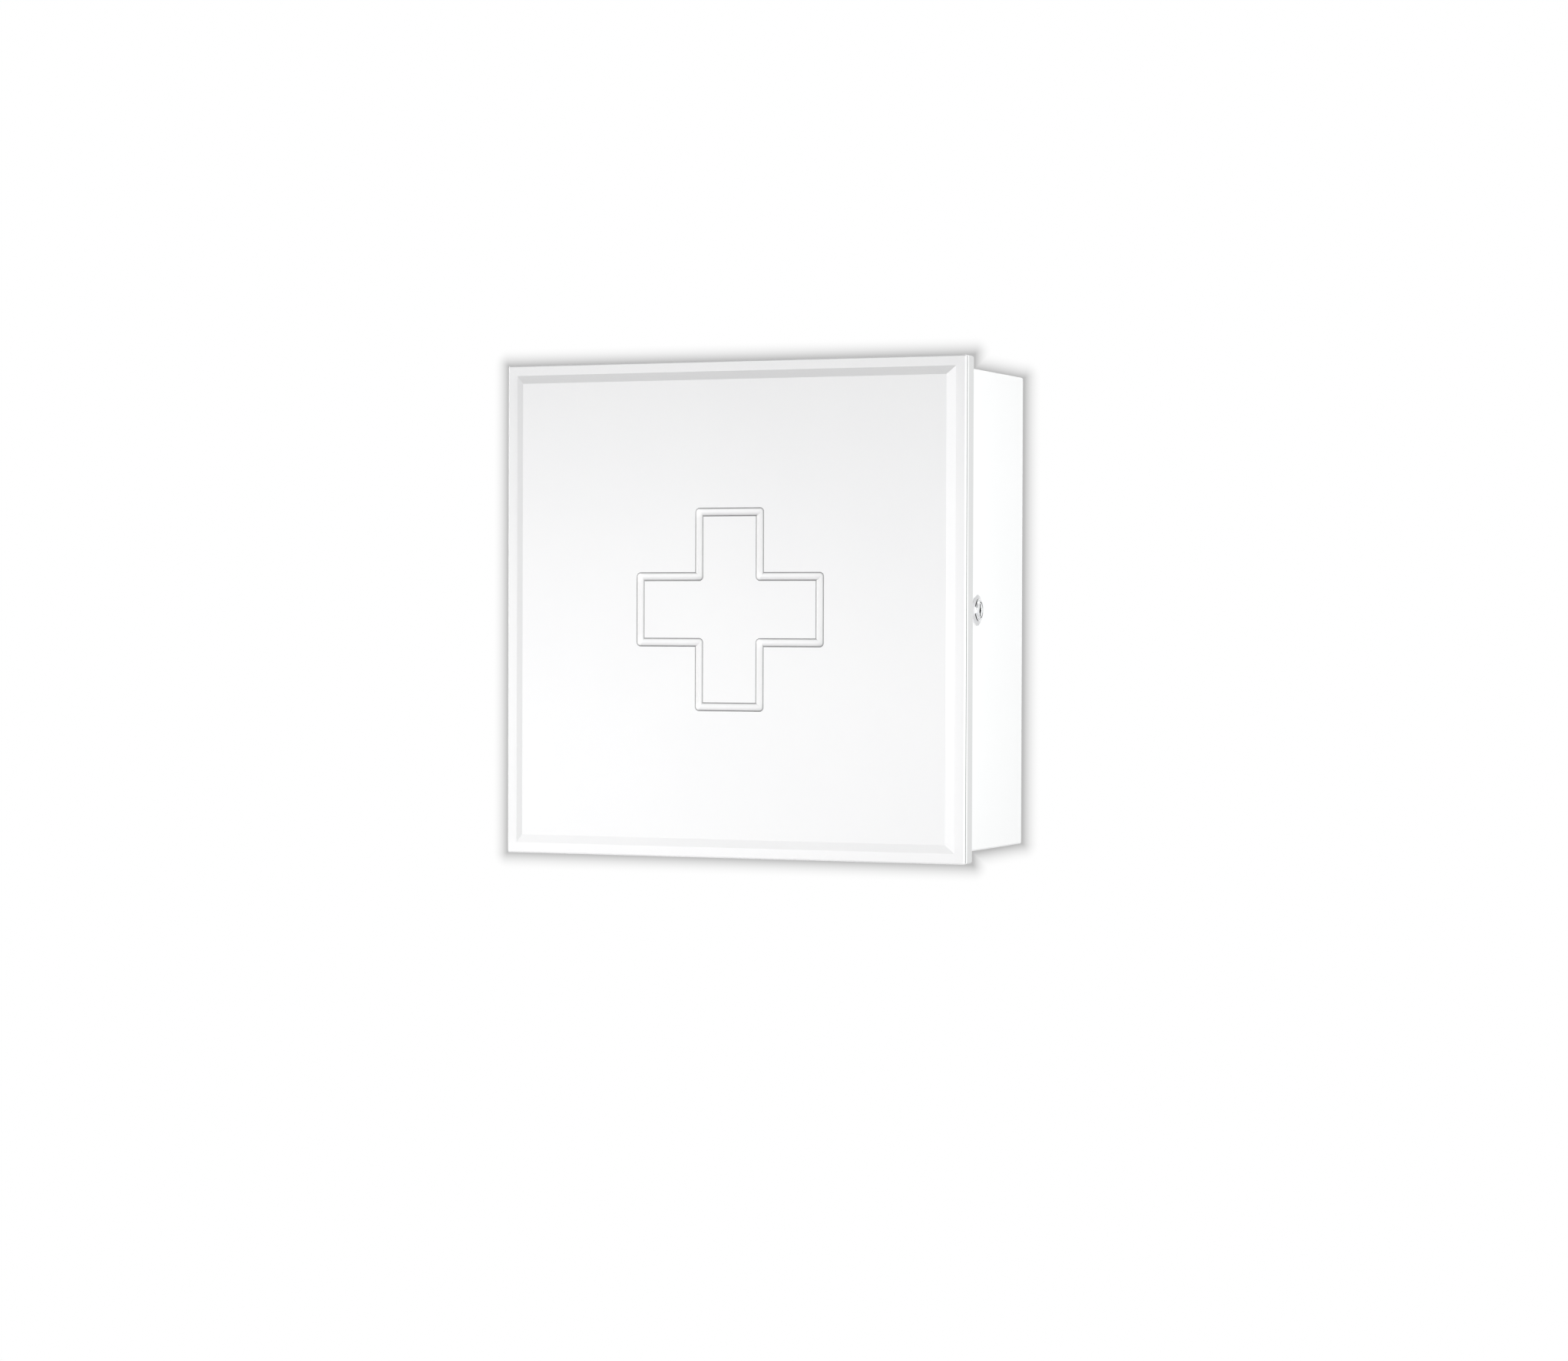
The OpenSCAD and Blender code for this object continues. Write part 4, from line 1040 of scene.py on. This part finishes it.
for level, z in (("upper", HINGE_Z), ("lower", -HINGE_Z)):
    on_body = leaf_tables(
        *rolled_leaf(BODY_FAR, BODY_CUT, body_across), ends, [True, False, True],
        lambda u, v, h: along(pin_at[0] + v, pin_at[1] + u, z + h, (0, 0, 0), "Z"))
    make_piece(f"{level}_hinge_body_leaf_rolled", on_body, "cabinet", zinc,
               [f"{level}_hinge_body_leaf"])
    on_door = leaf_tables(
        *rolled_leaf(DOOR_FAR, DOOR_CUT, door_across), middle, [False, True, False],
        lambda u, v, h: along(pin_at[0] + u, pin_at[1] - v, z + h, (0, 0, 0), "Z"))
    make_piece(f"{level}_hinge_door_leaf_rolled", on_door, "door", zinc,
               [f"{level}_hinge_door_leaf"])
    make_piece(f"{level}_hinge_pin_headed", [turned(*pin_side.T, (pin_at[0], pin_at[1], z), "Z")],
               "cabinet", zinc, [f"{level}_hinge_pin"])

# %% [markdown]
# ### Rivets
# Blind rivets hold the leaves and the strike. Pulling the mandrel swells the tail into a button and
# leaves a small pit in the head. Where the door closes over them the heads are flush, so they don't
# keep it open. One turned profile makes them all.

# %% Rivets
RIVET_R, PIT_R, PIT_DEPTH, TAIL_R, TAIL_H = 1.5, 0.8, 0.5, 2.4, 1.0
BODY_RIVET_OUT, DOOR_RIVET_OUT, RIVET_STEP = 11, 8.7, 17
STRIKE_T, STRIKE_RIVET_X, STRIKE_RIVETS_Z = 1.5, 139.5, (30.5, 39.0)


def button(r, h, steps=5):
    """A low dome from its edge to its middle: radius r cos a, height h sin a."""
    a = np.linspace(0, np.pi / 2, steps + 1)
    return np.stack([r * np.cos(a), h * np.sin(a)], -1)


def rivet(head, grip):
    """A rivet's profile of (radius, height): pit, head, shank and tail. The sheet's face is at 0."""
    pit = [[0, head[-1][1] - PIT_DEPTH], [PIT_R, head[-1][1] - PIT_DEPTH]]
    tail = button(TAIL_R, TAIL_H) * [1, -1] - [0, grip]
    return np.concatenate([pit, head[::-1], [[RIVET_R, head[0][1]], [RIVET_R, -grip]], tail])


# Three heads, as (radius, height) from the edge to the pit.
domed = button(2.8, 1.2)
domed[-1] = [PIT_R + 0.15, 1.2]
flush = np.array([[RIVET_R + 0.05, -0.8], [2.25, -0.05], [2.15, 0.0], [PIT_R + 0.1, 0.0]])
straight = np.array([[2.5, -1.5], [2.5, -0.1], [2.4, 0.0], [PIT_R + 0.1, 0.0]])
rivet_z = [z + i * RIVET_STEP for z in (-HINGE_Z, HINGE_Z) for i in (-1, 0, 1)]

outwards = rivet(domed, LEAF_T + SHEET_T) * [1, -1]
make_piece("hinge_body_rivets_domed",
           [turned(*outwards.T, (-wall_x - LEAF_T, pin_at[1] + BODY_RIVET_OUT, z), "X") for z in rivet_z],
           "cabinet", zinc, ["hinge_body_rivets"])
inwards = rivet(flush, LEAF_T + SHEET_T)
make_piece("hinge_door_rivets_flush",
           [turned(*inwards.T, (pin_at[0] + DOOR_RIVET_OUT, door_back_y + LEAF_T, z), "Y")
            for z in rivet_z], "door", zinc, ["hinge_door_rivets"])
in_strike = rivet(straight, STRIKE_T + SHEET_T)
make_piece("strike_rivets_flush",
           [turned(*in_strike.T, (STRIKE_RIVET_X, door_back_y + STRIKE_T, z), "Y")
            for z in STRIKE_RIVETS_Z], "door", zinc, ["strike_rivets"])

# %% [markdown]
# ## Inside: shelves and brackets
# Two shelves of folded sheet lie on angle strips that are spot-welded to the walls. Each is one
# bent section, cut to length, so it is drawn as its own outline with the bend's two radii, and
# stamped out along the third axis.

# %% Shelves and their brackets
SHELF_HALF, SHELF_FRONT, SHELF_BACK, SHELF_LIP, SHELF_BEND, SHELF_Z = 142.3, -96.0, -2.0, 8.0, 2.0, 48.0
ANGLE_LEG, ANGLE_SETBACK, ANGLE_BEND = 10.0, 6.0, 1.5
inner_x = wall_x - SHEET_T

shelf = soften(
    [[SHELF_BACK, 0], [SHELF_FRONT, 0], [SHELF_FRONT, SHELF_LIP], [SHELF_FRONT + SHEET_T, SHELF_LIP],
     [SHELF_FRONT + SHEET_T, SHEET_T], [SHELF_BACK, SHEET_T]],
    [CUT_EDGE_R, SHELF_BEND, CUT_EDGE_R, CUT_EDGE_R, SHELF_BEND - SHEET_T, CUT_EDGE_R], closed=True)
for name, z in (("upper_shelf", SHELF_Z), ("lower_shelf", -SHELF_Z)):
    make_piece(f"{name}_folded", stamped(shelf, -SHELF_HALF, SHELF_HALF, (0, 0, z), "X"),
               "cabinet", body_coat, [name])

strip = soften(
    [[0, inner_x - ANGLE_LEG], [0, inner_x], [-ANGLE_LEG, inner_x], [-ANGLE_LEG, inner_x - SHEET_T],
     [-SHEET_T, inner_x - SHEET_T], [-SHEET_T, inner_x - ANGLE_LEG]],
    [CUT_EDGE_R, ANGLE_BEND, CUT_EDGE_R, CUT_EDGE_R, ANGLE_BEND - SHEET_T, CUT_EDGE_R], closed=True)
brackets = [stamped(strip * [1, side], SHELF_FRONT + ANGLE_SETBACK, SHELF_BACK - ANGLE_SETBACK,
                    (0, 0, z), "Y") for side in (-1, 1) for z in (-SHELF_Z, SHELF_Z)]
make_piece("shelf_brackets_folded", [part for bracket in brackets for part in bracket],
           "cabinet", body_coat, ["shelf_brackets"])


# %% [markdown]
# ### The strike and the buffers
# The cam turns up behind a strike on the door, a plate with a tongue that is folded twice. The
# plate and the tongue are two closed shapes, and the tongue starts inside the plate, so no seam
# shows. Four low rubber domes on the front flange keep the door from rattling.

# %% Strike and buffers
STRIKE_X, STRIKE_Z, TONGUE_RIGHT = (118.0, 146.0), (24.5, 44.0), 129.5
LIP_Y, LIP_Z, STRIKE_BEND = -77.5, 10.0, 2.0
RELIEF, SUNK, TONGUE_ROOT = 2.5, 0.03, 8
BUFFER_R, BUFFER_T, BUFFER_AT = 4.0, 1.8, wall_x - BODY_FLANGE / 2

(left_x, right_x), (low_z, high_z) = STRIKE_X, STRIKE_Z
plate = soften(
    [[low_z + RELIEF, left_x], [high_z, left_x], [high_z, right_x], [low_z, right_x],
     [low_z, TONGUE_RIGHT + 1], [low_z + RELIEF, TONGUE_RIGHT + 1]],
    [0.2, 1.5, 1.5, 1.5, 0.4, 0.5], closed=True)
low_y, high_y = door_back_y + SUNK, door_back_y + STRIKE_T - SUNK
tongue = soften(
    [[low_y, low_z + TONGUE_ROOT], [low_y, low_z], [LIP_Y - STRIKE_T, low_z],
     [LIP_Y - STRIKE_T, LIP_Z], [LIP_Y, LIP_Z], [LIP_Y, low_z + STRIKE_T],
     [high_y, low_z + STRIKE_T], [high_y, low_z + TONGUE_ROOT]],
    [0.2, STRIKE_BEND, STRIKE_BEND - STRIKE_T, 0.3, 0.3, STRIKE_BEND, STRIKE_BEND - STRIKE_T, 0.2],
    closed=True)
make_piece("strike_bracket_folded",
           [*stamped(plate, door_back_y, door_back_y + STRIKE_T, (0, 0, 0), "Y"),
            *stamped(tongue, left_x, TONGUE_RIGHT, (0, 0, 0), "X")],
           "door", zinc, ["strike_bracket"])

dot = np.concatenate([[[0, 0]], button(BUFFER_R, BUFFER_T) * [1, -1]])
make_piece("door_buffers_domed",
           [turned(*dot.T, (x, body_front_y, z), "Y")
            for x in (-BUFFER_AT, BUFFER_AT) for z in (-BUFFER_AT, BUFFER_AT)],
           "cabinet", rubber, ["door_buffers"])


# %% [markdown]
# ## The stage
# The photo is a cut-out on white with a narrow soft shade all round the cabinet, as a lamp beside
# the camera would throw it on a wall. A pale floor lies well below the cabinet, and a pale wall
# stands behind it. A real lamp there would also flatten the cabinet's own shading. So the shade is
# worked out: the door's and the body's outlines are carried along straight lines from the camera to
# the wall, and the wall's white darkens by how near a point is to them. The wall is only there for
# the camera, takes no light from the cabinet, and is clear from behind, so that the back shows.

# %% Floor and wall
FLOOR_Z, STAGE_HALF, WALL_Y = -0.75, 4.0, 0.0004
SHADE, SHADE_REACH = 0.49, 0.0117


def stage_plane(name, corners, material):
    """One large four-sided face that isn't part of the cabinet."""
    mesh = bpy.data.meshes.new(name)
    mesh.from_pydata(corners, [], [(0, 1, 2, 3)])
    mesh.materials.append(material)
    plane = bpy.data.objects.new(name, mesh)
    bpy.context.scene.collection.objects.link(plane)
    return plane


def floor_paint():
    """Matt white paint. The camera and mirrors see it lighter, so that only shadows are grey."""
    material, tree, _ = finish("pale_floor_paint")
    paint = add(tree, "ShaderNodeBsdfDiffuse", {"Color": linear("#E6E6E6")})
    glow = add(tree, "ShaderNodeEmission", {"Color": (1, 1, 1, 1), "Strength": 0.5})
    both = add(tree, "ShaderNodeAddShader")
    tree.links.new(paint.outputs[0], both.inputs[0])
    tree.links.new(glow.outputs[0], both.inputs[1])
    path = add(tree, "ShaderNodeLightPath")
    seen = add(tree, "ShaderNodeMath", {0: path.outputs["Is Camera Ray"],
                                        1: path.outputs["Is Glossy Ray"]}, operation="MAXIMUM")
    shown = add(tree, "ShaderNodeMixShader", {"Fac": seen.outputs[0]})
    tree.links.new(paint.outputs[0], shown.inputs[1])
    tree.links.new(both.outputs[0], shown.inputs[2])
    add(tree, "ShaderNodeOutputMaterial", {"Surface": shown.outputs[0]})
    return material


def thrown(x, y, z):
    """Where the line from the camera through a point in mm meets the wall, in metres. With the
    camera at c and the point at p, that is c + (p - c) c_y / (c_y - p_y)."""
    eye, point = np.array(CAMERA_AT), np.array([x, y, z]) * MM
    return eye + (point - eye) * eye[1] / (eye[1] - point[1])


def beyond(tree, at, low, high, lean):
    """How far a point lies outside an outline: the length of (|x - mid| - half, |z - mid| - half),
    where less than 0 counts as 0. Left of its right edge, the outline grows by lean both ways."""
    place = add(tree, "ShaderNodeSeparateXYZ", {"Vector": at})
    inside = add(tree, "ShaderNodeMath", {0: place.outputs["X"], 1: high[0]}, operation="SUBTRACT")
    inside = add(tree, "ShaderNodeMath", {0: inside.outputs[0], 1: 0.0}, operation="MINIMUM")
    outside = []
    for axis, i, grow in (("X", 0, 0.0), ("Z", 2, lean)):
        middle, half = (low[i] + high[i]) / 2, (high[i] - low[i]) / 2
        away = add(tree, "ShaderNodeMath", {0: place.outputs[axis], 1: middle}, operation="SUBTRACT")
        away = add(tree, "ShaderNodeMath", {0: away.outputs[0]}, operation="ABSOLUTE")
        away = add(tree, "ShaderNodeMath", {0: away.outputs[0], 1: half}, operation="SUBTRACT")
        away = add(tree, "ShaderNodeMath", {0: inside.outputs[0], 1: grow, 2: away.outputs[0]},
                   operation="MULTIPLY_ADD")
        outside.append(add(tree, "ShaderNodeMath", {0: away.outputs[0], 1: 0.0}, operation="MAXIMUM"))
    both = add(tree, "ShaderNodeCombineXYZ", {"X": outside[0].outputs[0], "Z": outside[1].outputs[0]})
    return add(tree, "ShaderNodeVectorMath", {0: both.outputs[0]}, operation="LENGTH").outputs["Value"]


def wall_paint():
    """White but for the shade, SHADE (1 - distance / SHADE_REACH) squared, and clear from behind."""
    material, tree, at = finish("pale_wall_paint")
    near = thrown(wall_x, body_front_y, wall_x)
    lean = (near[2] - wall_x * MM) / (wall_x * MM - near[0])
    door = beyond(tree, at, thrown(-door_half, rim_y, -door_half),
                  (thrown(door_half, door_back_y, 0)[0], 0, thrown(0, rim_y, door_half)[2]), 0.0)
    body = beyond(tree, at, (near[0], 0, -wall_x * MM), (wall_x * MM, 0, wall_x * MM), lean)
    nearest = add(tree, "ShaderNodeMath", {0: door, 1: body}, operation="MINIMUM")
    shade = add(tree, "ShaderNodeMapRange", {"Value": nearest.outputs[0], "From Max": SHADE_REACH,
                                             "To Min": 1.0, "To Max": 0.0})
    shade = add(tree, "ShaderNodeMath", {0: shade.outputs["Result"], 1: 2.0}, operation="POWER")
    white = add(tree, "ShaderNodeMath", {0: shade.outputs[0], 1: -SHADE, 2: 1.0},
                operation="MULTIPLY_ADD")
    paint = add(tree, "ShaderNodeEmission", {"Strength": white.outputs[0]})
    clear = add(tree, "ShaderNodeBsdfTransparent")
    side = add(tree, "ShaderNodeNewGeometry")
    shown = add(tree, "ShaderNodeMixShader", {"Fac": side.outputs["Backfacing"]})
    tree.links.new(paint.outputs[0], shown.inputs[1])
    tree.links.new(clear.outputs[0], shown.inputs[2])
    add(tree, "ShaderNodeOutputMaterial", {"Surface": shown.outputs[0]})
    return material


s = STAGE_HALF
stage_plane("floor", [(-s, -s, FLOOR_Z), (s, -s, FLOOR_Z), (s, s, FLOOR_Z), (-s, s, FLOOR_Z)],
            floor_paint())
wall = stage_plane("wall", [(-s, WALL_Y, FLOOR_Z), (s, WALL_Y, FLOOR_Z), (s, WALL_Y, s), (-s, WALL_Y, s)],
                   wall_paint())
for ray in ("diffuse", "glossy", "transmission", "shadow", "volume_scatter"):
    setattr(wall, "visible_" + ray, False)
print("the shade reaches", SHADE_REACH / MM, "mm; the wall faces", tuple(wall.data.polygons[0].normal))


# %% [markdown]
# ## Light
# The photo's own shading says where its lights were: the right wall and the right-hand bevel are
# the brightest, every face that looks up is the darkest, and the panel gets lighter towards its
# lower edge. Three soft lamps give that: one in front, a little low and to the left, one in front
# to the right and a weak one beside the right wall. Two more behind the cabinet light its back, left
# side and top, which the photo doesn't show. The sky is a soft gradient from left to right. The
# chrome mirrors another one, dark in front, bright at the back and dimmer above and below, and the
# camera sees plain white.

# %% Lamps and sky


def softbox(name, azimuth, elevation, distance, size, watts):
    """A square lamp that faces the cabinet. Azimuth 0 is in front, 90 to the right."""
    a, e = np.radians(azimuth), np.radians(elevation)
    towards = Vector((np.sin(a) * np.cos(e), -np.cos(a) * np.cos(e), np.sin(e)))
    light = bpy.data.lights.new(name, "AREA")
    light.size = size
    light.energy = watts
    lamp = bpy.data.objects.new(name, light)
    lamp.location = towards * distance
    lamp.rotation_euler = towards.to_track_quat("Z", "Y").to_euler()
    bpy.context.scene.collection.objects.link(lamp)


softbox("left_front_softbox", -20, -8, 0.8, 0.5, 2.95)
softbox("right_front_softbox", 60, 0, 0.8, 0.5, 2.25)
softbox("right_side_softbox", 80, 0, 0.8, 0.5, 0.7)
softbox("back_left_softbox", -120, 15, 1.5, 1.0, 14.0)
softbox("back_top_softbox", 150, 50, 1.5, 1.0, 9.0)

world = bpy.data.worlds.new("studio")
bpy.context.scene.world = world
world.use_nodes = True
sky = world.node_tree
sky.nodes.clear()
direction = add(sky, "ShaderNodeTexCoord").outputs["Generated"]
part = add(sky, "ShaderNodeSeparateXYZ", {"Vector": direction})
level = add(sky, "ShaderNodeMapRange", {"Value": part.outputs["X"], "To Min": 0.25,
                                        "To Max": 0.96})
sweep = add(sky, "ShaderNodeMapRange", {"Value": part.outputs["Y"], "From Min": -0.3,
                                        "From Max": 0.35, "To Min": 0.35, "To Max": 1.2},
            interpolation_type="SMOOTHSTEP")
above = add(sky, "ShaderNodeMath", {0: part.outputs["Z"]}, operation="ABSOLUTE")
dimmer = add(sky, "ShaderNodeMath", {0: above.outputs[0], 1: -0.8, 2: 1.0}, operation="MULTIPLY_ADD")
band = add(sky, "ShaderNodeMath", {0: sweep.outputs["Result"], 1: dimmer.outputs[0]},
           operation="MULTIPLY")
soft = add(sky, "ShaderNodeBackground", {"Strength": level.outputs["Result"]})
mirrored = add(sky, "ShaderNodeBackground", {"Strength": band.outputs[0]})
plain = add(sky, "ShaderNodeBackground", {"Color": (1, 1, 1, 1), "Strength": 1.0})
path = add(sky, "ShaderNodeLightPath")
in_gloss = add(sky, "ShaderNodeMath", {0: path.outputs["Is Glossy Ray"],
                                       1: path.outputs["Is Transmission Ray"]}, operation="MAXIMUM")
unseen = add(sky, "ShaderNodeMixShader", {"Fac": in_gloss.outputs[0]})
shown = add(sky, "ShaderNodeMixShader", {"Fac": path.outputs["Is Camera Ray"]})
for mix, low, high in ((unseen, soft, mirrored), (shown, unseen, plain)):
    sky.links.new(low.outputs[0], mix.inputs[1])
    sky.links.new(high.outputs[0], mix.inputs[2])
add(sky, "ShaderNodeOutputWorld", {"Surface": shown.outputs[0]})
